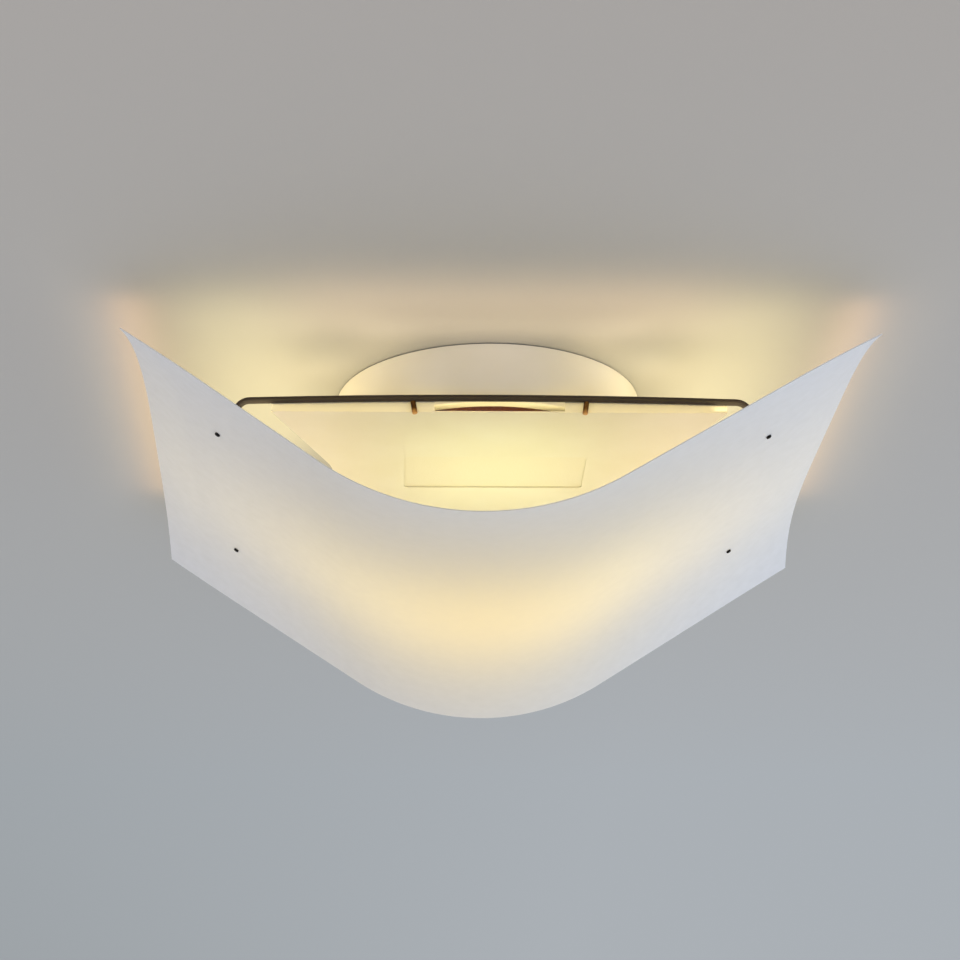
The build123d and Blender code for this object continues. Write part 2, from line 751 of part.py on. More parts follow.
def paper_sheet():
    half = sheet_width / 2
    places = [-half, -rod_y, 0.0, rod_y, half]
    faces = [SheetSection(y, turns).face() for y, turns in zip(places, flap_turns)]
    sheet = loft(faces)
    for screw_place in paper_screw_places():
        sheet -= screw_place * Cylinder(paper_hole_radius, 12 * sheet_thickness)
    return sheet


def paper_screw_places():
    # At each rod end's axis on the sheet's lower face, turned so that +Z runs down and outwards.
    turn = 90.0 + rod_end_angle
    return [Pos(sx * pin_x, sy * rod_y, pin_z) * Rot(0, sx * turn, 0) for sx in (-1, 1) for sy in (-1, 1)]


def paper_screws():
    length = seat_gap + sheet_thickness + paper_screw_reach
    screw = pan_screw(paper_screw_radius, length, paper_screw_head_radius, paper_screw_head_height)
    return [place * Pos(0, 0, seat_gap) * screw for place in paper_screw_places()]


rod_solids = {-1: rod(-rod_y), 1: rod(rod_y)}

nodes = {
    "mounting_plate": mounting_plate(),
    "canopy_drum": canopy_drum(),
    "drum_screws": drum_screws(),
    "cable_grommet": cable_grommet(),
    "terminal_block": terminal_block(),
    "terminal_screws": terminal_screws(),
    "earth_screw": earth_screw(),
    "earth_tag": earth_tag(),
    "earth_lead": earth_lead(),
    "spacer_posts": spacer_posts(),
    "hanger_brackets": hanger_brackets(),
    "tray": tray(),
    "pane_rails": pane_rails(),
    "glass_pane": glass_pane(),
    "reflector": reflector(),
    "right_lampholder": on_tray(lampholder()),
    "left_lampholder": on_tray(to_left(lampholder())),
    "lampholder_screws": [on_tray(holder_screw()), on_tray(to_left(holder_screw()))],
    "right_contact": on_tray(contact()),
    "left_contact": on_tray(to_left(contact())),
    "contact_springs": [on_tray(contact_spring()), on_tray(to_left(contact_spring()))],
    "lamp_tube": on_tray(lamp_tube()),
    "lamp_caps": [on_tray(lamp_cap()), on_tray(to_left(lamp_cap()))],
    "lamp_filament": on_tray(lamp_filament()),
    "right_lead": socket_lead(1),
    "left_lead": socket_lead(-1),
    "near_rod": rod_solids[-1],
    "far_rod": rod_solids[1],
    "rod_pegs": rod_pegs(),
    "peg_screws": peg_screws(),
    "paper_sheet": paper_sheet(),
    "paper_screws": paper_screws(),
}

print("screws at x %.1f, z %.1f" % (pin_x, pin_z))
os.makedirs("parts", exist_ok=True)
for name, shape in nodes.items():
    solids = shape if isinstance(shape, list) else [shape]
    part = Compound(children=[solid.solid() for solid in solids])
    export_step(part, "parts/%s.step" % name)
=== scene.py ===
# %% [markdown]
# # A paper ceiling light
#
# A sheet of stiff white paper, 650 mm long and 500 mm wide, hangs in a trough from the bent ends of two
# dark steel rods. The rods are pegged to a white sheet-metal tray, and the tray hangs under a round white
# canopy on the ceiling. A tungsten halogen lamp shines down through a glass pane in the tray, so the paper
# glows and throws the light back up. The metal pieces come from the measured model as they are and get
# their finishes here. The paper, the screws, the springs and the lamp's filament are made here in more
# detail than the model has.

# %% Load the measured model
import json
import math

import bpy
import numpy as np
from mathutils import Matrix, Vector


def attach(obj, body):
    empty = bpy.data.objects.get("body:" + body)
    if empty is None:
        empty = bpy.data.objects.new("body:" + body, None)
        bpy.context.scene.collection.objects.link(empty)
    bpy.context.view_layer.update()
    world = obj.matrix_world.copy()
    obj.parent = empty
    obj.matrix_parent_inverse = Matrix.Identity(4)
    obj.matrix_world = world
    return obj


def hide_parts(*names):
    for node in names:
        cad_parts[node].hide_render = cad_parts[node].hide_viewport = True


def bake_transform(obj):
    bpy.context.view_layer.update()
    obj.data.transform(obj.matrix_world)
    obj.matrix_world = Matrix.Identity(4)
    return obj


bpy.context.scene.view_settings.view_transform = "Standard"
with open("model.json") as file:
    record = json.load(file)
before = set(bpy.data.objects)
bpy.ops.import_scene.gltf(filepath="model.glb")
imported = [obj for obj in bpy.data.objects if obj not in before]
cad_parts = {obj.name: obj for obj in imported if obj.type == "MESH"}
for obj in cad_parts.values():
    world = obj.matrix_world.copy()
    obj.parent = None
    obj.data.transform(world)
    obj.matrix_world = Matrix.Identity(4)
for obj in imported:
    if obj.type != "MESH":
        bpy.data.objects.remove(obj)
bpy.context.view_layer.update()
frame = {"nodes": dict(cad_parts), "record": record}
nodes = frame["nodes"]
mm = 0.001

# %% [markdown]
# ## Camera
#
# The photograph was taken from below and in front, looking up by 21 degrees. Lines that are parallel on the
# light hardly meet in the picture, so it was taken from about two metres with a long lens. The camera could
# be aimed with a Track To constraint, but its direction is set here from three angles, because the
# photographer held it slightly askew and a constraint would level it.

# %% Camera
camera_place = Vector((-76.4, -2033.4, -863.9)) * mm
camera_pitch, camera_yaw, camera_roll = (math.radians(a) for a in (21.36, 1.96, -0.52))
picture_side = 960
focal_in_pixels = 2620

ahead = Vector((math.sin(camera_yaw) * math.cos(camera_pitch),
                math.cos(camera_yaw) * math.cos(camera_pitch), math.sin(camera_pitch)))
level = Vector((math.cos(camera_yaw), -math.sin(camera_yaw), 0))
upright = level.cross(ahead)
right = math.cos(camera_roll) * level + math.sin(camera_roll) * upright
up = -math.sin(camera_roll) * level + math.cos(camera_roll) * upright

lens = bpy.data.cameras.new("camera")
lens.sensor_width = 36
lens.lens = focal_in_pixels / picture_side * lens.sensor_width
camera = bpy.data.objects.new("camera", lens)
camera.matrix_world = Matrix.Translation(camera_place) @ Matrix((right, up, -ahead)).transposed().to_4x4()
bpy.context.scene.collection.objects.link(camera)
bpy.context.scene.camera = camera
print("lens %.1f mm" % lens.lens)

# %% [markdown]
# ## Three helpers for materials
#
# A paint chart gives colours as sRGB hex values, and Blender's shaders want linear light, so one function
# turns the one into the other. The second adds any node to a tree with its settings, its values and its
# links, so that each material below reads as a list of what it is made of. The third starts a material with
# an empty tree and the place of each point on the object, in metres.

# %% Helpers for colours and nodes
def linear(hex_colour):
    """The linear RGBA of an sRGB hex value such as "#F3EFE6"."""
    shares = [int(hex_colour[i:i + 2], 16) / 255 for i in (1, 3, 5)]
    return [s / 12.92 if s <= 0.04045 else ((s + 0.055) / 1.055) ** 2.4 for s in shares] + [1.0]


def add(tree, kind, settings=None, **sockets):
    """Adds a node. A socket's keyword is its name with _ for spaces, or _0, _1 for its number.

    A socket takes a value, another socket, or a node, which then gives its first output. The setting
    "stops" holds the places and hex colours of a Color Ramp.
    """
    made = tree.nodes.new(kind)
    for name, value in (settings or {}).items():
        if name == "stops":
            for stop, (place, colour) in zip(made.color_ramp.elements, value):
                stop.position, stop.color = place, linear(colour)
        else:
            setattr(made, name, value)
    for name, value in sockets.items():
        key = int(name[1:]) if name[0] == "_" else name.replace("_", " ")
        if isinstance(value, bpy.types.Node):
            value = value.outputs[0]
        if isinstance(value, bpy.types.NodeSocket):
            tree.links.new(value, made.inputs[key])
        else:
            made.inputs[key].default_value = value
    return made


def begin_finish(name):
    """A new material, its empty tree, and each point's place on the object in metres."""
    material = bpy.data.materials.new(name)
    material.use_nodes = True
    tree = material.node_tree
    tree.nodes.clear()
    return material, tree, add(tree, "ShaderNodeTexCoord").outputs["Object"]


# %% [markdown]
# ## Ceiling and daylight
#
# The light hangs on a pale painted ceiling, which fills the picture. It is a flat ring, not a disc: the
# opening lies over the mounting plate, so that a view from above shows the plate in daylight. Its back is
# see-through for the same reason. Light and shade are painted into its colour: the near part is painted a
# little warmer than the far part, and the far part has a painted shade that is darkest at its left end. A
# ceiling could also be the world's colour, but then the lamp's glow and the canopy's shadow would have
# nothing to fall on.

# %% Ceiling
ceiling_height = 0.2 * mm
ceiling_reach = 6.0
plate_opening = 0.122
painted_warm_near_y, painted_cool_far_y, painted_shade_left_x, painted_light_right_x = -0.7, 1.2, -0.8, 0.2
stipple_size = 2 * mm


def flat_ring(name, inner, outer, height, steps=96):
    """A ring of quads that faces down."""
    turns = [math.tau * i / steps for i in range(steps)]
    corners = [(r * math.cos(t), r * math.sin(t), height) for r in (inner, outer) for t in turns]
    quads = [(i, (i + 1) % steps, steps + (i + 1) % steps, steps + i) for i in range(steps)]
    mesh = bpy.data.meshes.new(name)
    mesh.from_pydata(corners, [], quads)
    made = bpy.data.objects.new(name, mesh)
    bpy.context.scene.collection.objects.link(made)
    return made


# Emulsion paint is dead matt, and the roller leaves a stipple of about 2 mm
ceiling_paint, tree, where = begin_finish("emulsion_painted_plaster")
place = add(tree, "ShaderNodeSeparateXYZ", Vector=where).outputs
# Painted light and shade: warmer towards the near side, cooler towards the far side, darkest at the far left
depth = add(tree, "ShaderNodeMapRange", Value=place["Y"], From_Min=painted_warm_near_y,
            From_Max=painted_cool_far_y)
along = add(tree, "ShaderNodeMapRange", Value=place["X"], From_Min=painted_shade_left_x,
            From_Max=painted_light_right_x)
far_painted_light_and_shade = add(tree, "ShaderNodeValToRGB", {"stops": ((0.0, "#A1A7A7"), (1.0, "#B0B6B7"))}, Fac=along)
paint = add(tree, "ShaderNodeMix", {"data_type": "RGBA"}, _0=depth, _6=linear("#AEAAA3"), _7=far_painted_light_and_shade)
stipple = add(tree, "ShaderNodeTexNoise", Vector=where, Scale=1 / stipple_size, Detail=2.0)
relief = add(tree, "ShaderNodeBump", Height=stipple, Strength=0.15, Distance=0.3 * mm)
matt = add(tree, "ShaderNodeBsdfPrincipled", Base_Color=paint.outputs[2], Roughness=0.9, Normal=relief)
back = add(tree, "ShaderNodeNewGeometry").outputs["Backfacing"]
one_sided = add(tree, "ShaderNodeMixShader", _0=back, _1=matt, _2=add(tree, "ShaderNodeBsdfTransparent"))
add(tree, "ShaderNodeOutputMaterial", Surface=one_sided)

ceiling = flat_ring("ceiling", plate_opening, ceiling_reach, ceiling_height)
ceiling.data.materials.append(ceiling_paint)
print("ceiling faces down:", ceiling.data.polygons[0].normal.z < 0)

# %% [markdown]
# The daylight comes from a window on the right. Lamps for it would cast shadows with hard edges, so it is the
# world's own colour, bluer and stronger towards the right, and weaker and warmer from the left, where the
# room throws it back. What the camera sees past the ceiling, or in glass and metal, is a plain pale backdrop.

# %% Daylight
left_strength, right_strength = 0.68, 1.34
daylight = bpy.data.worlds.new("daylight")
bpy.context.scene.world = daylight
daylight.use_nodes = True
tree = daylight.node_tree
tree.nodes.clear()
direction = add(tree, "ShaderNodeSeparateXYZ", Vector=add(tree, "ShaderNodeTexCoord").outputs["Generated"])
from_right = add(tree, "ShaderNodeMapRange", Value=direction, From_Min=-1.0, From_Max=1.0)
strength = add(tree, "ShaderNodeMapRange", Value=from_right, To_Min=left_strength,
               To_Max=right_strength)
tint = add(tree, "ShaderNodeValToRGB", {"stops": ((0.0, "#FFF5F1"), (1.0, "#E6F0FF"))}, Fac=from_right)
soft_light = add(tree, "ShaderNodeBackground", Color=tint, Strength=strength)
backdrop = add(tree, "ShaderNodeBackground", Color=linear("#C9CDCF"), Strength=1.0)
ray = add(tree, "ShaderNodeLightPath").outputs
seen = add(tree, "ShaderNodeMath", {"operation": "MAXIMUM"}, _0=ray["Is Camera Ray"],
           _1=ray["Is Glossy Ray"])
seen = add(tree, "ShaderNodeMath", {"operation": "MAXIMUM"}, _0=seen, _1=ray["Is Transmission Ray"])
add(tree, "ShaderNodeOutputWorld",
    Surface=add(tree, "ShaderNodeMixShader", _0=seen, _1=soft_light, _2=backdrop))
print("the right side gets %.1f times the daylight of the left" % (right_strength / left_strength))

# %% [markdown]
# ## The lamp's light
#
# The real lamp shines down through a pane of etched glass. The paper under it throws most of that light back
# up, onto the tray, the drum and the ceiling, and it leaves through the gaps round the sheet. Light that
# finds its way through glass and off paper is slow to render and full of noise, so every place that the
# light comes from gets an area light of its own, which isn't seen itself. Wide lights give the soft edges.
# The yellow ones stand for light that the paper threw back, and the orange ones for light that passed
# through it or grazed it several times.

# %% Lamp light
lamp_centre = 5.0
lamp_x = lamp_centre * mm


def area_light(name, place, size, watts, colour, turned=(0.0, 0.0, 0.0), spread=180):
    """An area light in millimetres that shines down, or as it is turned, and isn't seen itself."""
    light = bpy.data.lights.new(name, "AREA")
    light.shape = "RECTANGLE"
    light.size, light.size_y = size[0] * mm, size[1] * mm
    light.energy, light.color = watts, linear(colour)[:3]
    light.spread = math.radians(spread)
    made = bpy.data.objects.new(name, light)
    made.location = Vector(place) * mm
    made.rotation_euler = [math.radians(a) for a in turned]
    made.visible_camera = False
    bpy.context.scene.collection.objects.link(made)


upward = (180.0, 0.0, 0.0)
wing_slope = 35.0
# Down from the pane, up into the reflector over it, and back up from the hottest part of the paper
area_light("pane_light", (lamp_centre, 0.0, -64.0), (150.0, 130.0), 0.21, "#F9FFEA")
area_light("reflector_light", (lamp_centre, 0.0, -53.0), (130.0, 70.0), 0.05, "#FFF0C4", upward)
area_light("hot_paper_light", (lamp_centre, -5.0, -140.0), (130.0, 200.0), 0.027, "#EBFFC4", upward, 110)
for side in (-1, 1):
    # From each wing, past the end of the tray, and through the gap at the tip
    area_light("wing_light", (side * 190.0, 0.0, -82.0), (170.0, 450.0), 0.10, "#FFE6CC",
               (180.0, -side * wing_slope, 0.0))
    area_light("end_light", (side * 205.0, 0.0, -60.0), (60.0, 420.0), 0.145, "#FFF0B4", upward)
    area_light("tip_light", (side * 284.0, 0.0, -24.0), (24.0, 420.0), 0.042, "#FFC284", upward)
    # Along the near and the far edge, and across onto the tray's flange
    area_light("edge_light", (lamp_centre, side * 195.0, -95.0), (330.0, 70.0), 0.060, "#FFDAB0", upward, 90)
    area_light("flange_light", (lamp_centre, side * 190.0, -62.0), (380.0, 14.0), 0.0145, "#FFE04C",
               (-side * 90.0, 0.0, 0.0), 50)
    # Over the ends of the tray and at its corners
    area_light("shelf_light", (side * 160.0, 0.0, -42.0), (40.0, 240.0), 0.04, "#FFEBB8", upward)
    for end in (-1, 1):
        area_light("corner_light", (end * 155.0, side * 90.0, -40.0), (30.0, 60.0), 0.003 + 0.001 * end,
                   "#FFFCE2", (180.0, -end * 65.0, 0.0), 110)
# Round the drum, in front of it on both sides of the rod, under the tray's lip, and inside the drum
beside_drum = 146.0
for angle in (-42, 42, 138, 222):
    turn = math.radians(angle)
    area_light("rim_light", (beside_drum * math.cos(turn), beside_drum * math.sin(turn), -44.0),
               (26.0, 110.0), 0.0055, "#FFE6B8", (180.0, 0.0, angle), 90)
for side in (-1, 1):
    area_light("beside_rod_light", (side * 140.0, -152.0, -50.0), (90.0, 40.0), 0.005, "#FFEABC", upward, 110)
area_light("front_light", (lamp_centre, -152.0, -70.0), (230.0, 24.0), 0.007, "#FFE9C8", upward, 50)
area_light("lip_light", (lamp_centre, -121.0, -60.0), (200.0, 10.0), 0.0125, "#FFEFB0", upward)
area_light("inside_drum_light", (lamp_centre, 60.0, -16.0), (120.0, 14.0), 0.0046, "#FF6A10",
           (250.0, 0.0, 0.0))
print("lights", len(bpy.data.lights))

# %% [markdown]
# ## The paper sheet
#
# The shade is one sheet, 650 by 500 mm and 0.8 mm thick, held at four points and bent by its own stiffness.
# Its middle is a round trough, its wings are straight, and the flaps outside the screws turn a little
# further. A cloth simulation would crumple it like fabric, but stiff paper only bends one way at a time, so
# the sheet is drawn from that rule: each cross-section is an arc, two straight lines and two weak arcs. Five
# sections, from the near edge to the far one, are joined by a smooth curve across the sheet.

# %% The sheet's sizes
sheet_length, sheet_width, sheet_thickness = 650.0, 500.0, 0.8
flap_length = 77.0
rod_y = 133.0
pin_x, pin_z = 216.1, -82.3
# The lowest point, the bend's shift along the sheet and its radius, and the slopes of the wings in degrees
near_edge = {"bottom": (-13.2, -190.9), "offset": -13.0, "radius": 206.7, "left": 35.9, "right": 30.9}
far_edge = {"bottom": (0.5, -201.6), "offset": 1.9, "radius": 199.0, "left": 34.1, "right": 32.8}
section_places = [-sheet_width / 2, -rod_y, 0.0, rod_y, sheet_width / 2]
# How far the left and the right flap turn in each section, in degrees
flap_turns = [(-2.3, -3.6), (8.6, 10.4), (10.0, 11.5), (8.3, 9.6), (1.2, -0.6)]
print("sections at", section_places, "mm")


# %% One cross-section
def section_at(y, turns):
    """The radius, the angles, the wings' lengths and the lowest point of one cross-section."""
    share = y / sheet_width + 0.5
    between = {k: near_edge[k] + (far_edge[k] - near_edge[k]) * share
               for k in ("offset", "radius", "left", "right")}
    radius, angle = between["radius"], [math.radians(between[k]) for k in ("left", "right")]
    reach = sheet_length / 2 - flap_length
    wing = [reach + between["offset"] - radius * angle[0], reach - between["offset"] - radius * angle[1]]
    if share in (0, 1):
        bottom = (near_edge, far_edge)[int(share)]["bottom"]
    else:
        slope = [math.tan(a) for a in angle]
        rise = [radius * (1 - math.cos(a) - math.sin(a) * s) for a, s in zip(angle, slope)]
        x = (rise[1] - rise[0] + pin_x * (slope[1] - slope[0])) / (slope[1] + slope[0])
        bottom = (x, pin_z - rise[1] - (pin_x - x) * slope[1])
    return radius, angle, wing, [math.radians(t) for t in turns], bottom


sections = [section_at(y, turns) for y, turns in zip(section_places, flap_turns)]
print("lowest points", [round(section[-1][1], 1) for section in sections], "mm")


# %% The line of a section
def section_line(section, steps, inset):
    """Points along a section from the left tip to the right one, inset from the lower face."""
    radius, angle, wing, turn, bottom = section
    line = []
    for side in (0, 1):
        heading = np.concatenate([np.linspace(0, angle[side], steps["bend"])[:-1],
                                  np.full(steps["wing"] - 1, angle[side]),
                                  angle[side] + turn[side] * np.linspace(0, 1, steps["flap"])])
        run = np.concatenate([np.linspace(0, radius * angle[side], steps["bend"])[:-1],
                              radius * angle[side] + wing[side] * np.linspace(0, 1, steps["wing"])[:-1],
                              radius * angle[side] + wing[side]
                              + flap_length * np.linspace(0, 1, steps["flap"])])
        middle = (heading[1:] + heading[:-1]) / 2
        x = np.concatenate([[0], np.cumsum(np.diff(run) * np.cos(middle))]) - inset * np.sin(heading)
        z = np.concatenate([[0], np.cumsum(np.diff(run) * np.sin(middle))]) + inset * np.cos(heading)
        points = np.stack([bottom[0] + (2 * side - 1) * x, bottom[1] + z,
                           (2 * side - 1) * run], axis=1)
        line = points if side == 0 else np.concatenate([line[::-1], points[1:]])
    return line


steps = {"bend": 34, "wing": 30, "flap": 20}
print("points on each line", len(section_line(sections[0], steps, 0.0)))


# %% The curve across the sections
def across(rows, y):
    """A smooth curve through the five sections, as the weight of each one at each y."""
    weights = np.ones((len(y), len(rows)))
    for i, a in enumerate(rows):
        for b in rows[:i] + rows[i + 1:]:
            weights[:, i] *= (y - b) / (a - b)
    return weights


y_places = np.linspace(-sheet_width / 2, sheet_width / 2, 126)
weights = across(section_places, y_places)
print("lines across the sheet", len(weights))

# %% [markdown]
# The sheet needs both of its faces and its cut edges, because a strong light shows the edge as a bright
# line. A plane with a Solidify modifier would give that too, but here the upper face is drawn by the same
# rule as the lower one, 0.8 mm inside it, which keeps the model's exact thickness. Each point also gets its
# place on the flat sheet as a UV map, so that the paper's clouds of fibre lie in the paper and bend with it.

# %% Points of both faces
faces_of_sheet = []
for inset in (0.0, sheet_thickness):
    lines = np.stack([section_line(s, steps, inset) for s in sections])
    grid = np.einsum("rs,scd->rcd", weights, lines)
    grid = np.stack([grid[..., 0], np.broadcast_to(y_places[:, None], grid.shape[:2]),
                     grid[..., 1], grid[..., 2]], axis=-1)
    faces_of_sheet.append(grid)
rows, columns = faces_of_sheet[0].shape[:2]
lower, upper = (np.arange(rows * columns).reshape(rows, columns) + k * rows * columns for k in (0, 1))
print("points on each face", rows * columns)


# %% Sheet mesh
def quads_of(grid, flip):
    """The grid's cells as quads, and turned round for the face that looks the other way."""
    cells = np.stack([grid[:-1, :-1], grid[:-1, 1:], grid[1:, 1:], grid[1:, :-1]], axis=-1)
    return (cells[..., ::-1] if flip else cells).reshape(-1, 4)


def wall_of(low, high, flip):
    """The strip of quads between two edges of the two faces."""
    cells = np.stack([low[:-1], low[1:], high[1:], high[:-1]], axis=-1)
    return cells[:, ::-1] if flip else cells


quads = np.concatenate([quads_of(lower, True), quads_of(upper, False),
                        wall_of(lower[0], upper[0], False), wall_of(lower[-1], upper[-1], True),
                        wall_of(lower[:, 0], upper[:, 0], True), wall_of(lower[:, -1], upper[:, -1], False)])
# Each point is its place and how far along the flat sheet it lies
corners = np.concatenate([face.reshape(-1, 4) for face in faces_of_sheet])
mesh = bpy.data.meshes.new("paper_shade")
mesh.from_pydata((corners[:, :3] * mm).tolist(), [], quads.tolist())
flat_place = mesh.uv_layers.new(name="flat_sheet")
corner_of_loop = np.array([loop.vertex_index for loop in mesh.loops])
flat_place.data.foreach_set("uv", (corners[corner_of_loop][:, [3, 1]] * mm).astype(np.float32).ravel())
paper_shade = bpy.data.objects.new("paper_shade", mesh)
bpy.context.scene.collection.objects.link(paper_shade)


def shade_with_edges(mesh, sharp_degrees):
    """Smooth shading with sharp edges where the surface turns by more than the angle."""
    mesh.shade_smooth()
    mesh.set_sharp_from_angle(angle=math.radians(sharp_degrees))


shade_with_edges(mesh, sharp_degrees=40)
print("sheet of %d by %d cells" % (rows - 1, columns - 1))

# %% [markdown]
# Shade paper is bleached pulp with a thin matt plastic coat. Held to the light it is cloudy, because the
# fibres lie in flocks of about 11 mm, and its surface has a fine tooth of about 0.5 mm. Under the lamp the
# paper's colour, and the colour of the light through it, are painted a warm yellow, which stands for the
# lamp's yellow light falling there, while the wings keep a blue-white. Light goes through it, more yellow
# than it went in, so the shader is part plain white and part Translucent. A soft band of the paper's own
# light lies under the lamp, a little behind the middle, so that the shade still looks lit where no lamp
# shines in.

# %% A soft spot on the sheet
def bell_over(tree, where, centre, half_length, half_width):
    """A bell curve of the distance from a point of the plan, 0.5 at its half length and half width."""
    away = add(tree, "ShaderNodeVectorMath", {"operation": "SUBTRACT"}, _0=where, _1=(*centre, 0))
    scaled = add(tree, "ShaderNodeVectorMath", {"operation": "MULTIPLY"}, _0=away,
                 _1=(1 / half_length, 1 / half_width, 0))
    squared = add(tree, "ShaderNodeVectorMath", {"operation": "DOT_PRODUCT"}, _0=scaled, _1=scaled)
    falling = add(tree, "ShaderNodeMath", {"operation": "MULTIPLY"}, _0=squared.outputs["Value"],
                  _1=-math.log(2))
    return add(tree, "ShaderNodeMath", {"operation": "EXPONENT"}, _0=falling)


band_shift, band_half_length, band_half_width = 0.055, 0.21, 0.115
band_strength, band_clouds = 0.228, 0.1
# The size of the patch of painted lamp light, in metres
lamp_yellow_half_length, lamp_yellow_half_width = 0.14, 0.21
print("the glow is %.0f mm long where it falls to half" % (2 * band_half_length / mm))

# %% Coated shade paper
flock_size, tooth_size = 11 * mm, 0.55 * mm
light_through = 0.32

shade_paper, tree, where = begin_finish("coated_shade_paper")
flat = add(tree, "ShaderNodeUVMap", {"uv_map": "flat_sheet"})
flocks = add(tree, "ShaderNodeTexNoise", Vector=flat, Scale=1 / flock_size, Detail=4.0, Roughness=0.55)
tooth = add(tree, "ShaderNodeTexNoise", Vector=flat, Scale=1 / tooth_size, Detail=3.0)
# Painted lamp light: a warm yellow patch under the lamp, in the paper's colour and in the light through it
painted_lamp_yellow = bell_over(tree, where, (lamp_x, 0.0), lamp_yellow_half_length, lamp_yellow_half_width)
lit = bell_over(tree, where, (lamp_x, band_shift), band_half_length, band_half_width)

white_paper = add(tree, "ShaderNodeValToRGB", {"stops": ((0.3, "#E3E8F0"), (0.7, "#EAEEF5"))}, Fac=flocks)
paper_with_painted_lamp_yellow = add(tree, "ShaderNodeMix", {"data_type": "RGBA"}, _0=painted_lamp_yellow, _6=white_paper, _7=linear("#DED6C2"))
cloud = add(tree, "ShaderNodeMapRange", Value=flocks, To_Min=(1 - band_clouds) * band_strength,
            To_Max=(1 + band_clouds) * band_strength)
band = add(tree, "ShaderNodeMath", {"operation": "MULTIPLY"}, _0=lit, _1=cloud)
coat = add(tree, "ShaderNodeBsdfPrincipled", Base_Color=paper_with_painted_lamp_yellow.outputs[2], IOR=1.45,
           Roughness=add(tree, "ShaderNodeMapRange", Value=tooth, To_Min=0.55, To_Max=0.7),
           Normal=add(tree, "ShaderNodeBump", Height=tooth, Strength=0.12, Distance=0.05 * mm),
           Emission_Color=linear("#FFE396"), Emission_Strength=band)
clear_fibres = add(tree, "ShaderNodeValToRGB", {"stops": ((0.3, "#FFFCF2"), (0.7, "#FFFEF8"))}, Fac=flocks)
# The light through the paper is painted amber under the lamp as well
fibres_with_painted_lamp_yellow = add(tree, "ShaderNodeMix", {"data_type": "RGBA"}, _0=painted_lamp_yellow, _6=clear_fibres,
                   _7=linear("#FFF2C6"))
through = add(tree, "ShaderNodeBsdfTranslucent", Color=fibres_with_painted_lamp_yellow.outputs[2])
add(tree, "ShaderNodeOutputMaterial",
    Surface=add(tree, "ShaderNodeMixShader", _0=light_through, _1=coat, _2=through))
paper_shade.data.materials.append(shade_paper)
print(shade_paper.name, "has", len(tree.nodes), "nodes")

# %% [markdown]
# ## White powder coat
#
# The canopy and the tray are deep-drawn and folded steel, coated with warm white polyester powder and baked.
# The powder melts into a skin with a faint orange peel of about 1.5 mm, half matt. A clean white would look
# like plastic, so a slight unevenness of tone and gloss follows the spray, in clouds of about 70 mm.

# %% Powder coat
spray_cloud, orange_peel = 70 * mm, 1.5 * mm
powder_coat, tree, where = begin_finish("white_polyester_powder_coat")
spray = add(tree, "ShaderNodeTexNoise", Vector=where, Scale=1 / spray_cloud, Detail=3.0)
peel = add(tree, "ShaderNodeTexNoise", Vector=where, Scale=1 / orange_peel, Detail=2.0)
coat = add(tree, "ShaderNodeBsdfPrincipled", IOR=1.5,
           Base_Color=add(tree, "ShaderNodeValToRGB", {"stops": ((0.3, "#ECE5D1"), (0.7, "#F1EBDD"))},
                          Fac=spray),
           Roughness=add(tree, "ShaderNodeMapRange", Value=spray, To_Min=0.42, To_Max=0.52),
           Normal=add(tree, "ShaderNodeBump", Height=peel, Strength=0.2, Distance=0.08 * mm))
add(tree, "ShaderNodeOutputMaterial", Surface=coat)
print(powder_coat.name, "has", len(tree.nodes), "nodes")

# %% [markdown]
# ## Rod lacquer
#
# The rods are round steel bar, drawn, browned and clear-lacquered. They read as an even dark brown with a
# soft highlight from the ceiling, and fine lines run along them where the die drew the bar. Dark lacquer
# over steel isn't a metal to the eye, so the shader is not metallic. The lines are drawn 0.4 mm wide, which
# is coarser than real drawing marks, so that they show at all.

# %% Lacquered rods
mottle_size, line_width = 16 * mm, 0.4 * mm
rod_lacquer, tree, where = begin_finish("dark_brown_lacquered_steel")
mottle = add(tree, "ShaderNodeTexNoise", Vector=where, Scale=1 / mottle_size, Detail=5.0, Roughness=0.6)
along_rod = add(tree, "ShaderNodeMapping", Vector=where,
                Scale=(1 / mottle_size, 1 / line_width, 1 / line_width))
lines = add(tree, "ShaderNodeTexNoise", Vector=along_rod, Scale=1.0, Detail=2.0)
lacquer = add(tree, "ShaderNodeBsdfPrincipled", IOR=1.5,
              Base_Color=add(tree, "ShaderNodeValToRGB", {"stops": ((0.35, "#190E0C"), (0.7, "#281814"))},
                             Fac=mottle),
              Roughness=add(tree, "ShaderNodeMapRange", Value=mottle, To_Min=0.5, To_Max=0.65),
              Normal=add(tree, "ShaderNodeBump", Height=lines, Strength=0.2, Distance=0.03 * mm))
add(tree, "ShaderNodeOutputMaterial", Surface=lacquer)
print(rod_lacquer.name, "has", len(tree.nodes), "nodes")

# %% [markdown]
# ## Brass pegs
#
# Turned brass, gone brown in the air, with the lathe's fine rings round it. The lower end is painted
# brighter, a painted highlight that stands for the lamp's light falling on it. The change of tone reads the
# height of the surface, because every peg ends at the same height. A Wave Texture repeats every 0.314 units
# at scale 1, which sets the rings 0.3 mm apart.

# %% Turned brass
wave_repeat = math.tau / 20
peg_end_z, lit_end_height = -64.0 * mm, 4.0 * mm
ring_spacing, stain_size = 0.3 * mm, 3.3 * mm
peg_brass, tree, where = begin_finish("browned_turned_brass")
height = add(tree, "ShaderNodeSeparateXYZ", Vector=where).outputs["Z"]
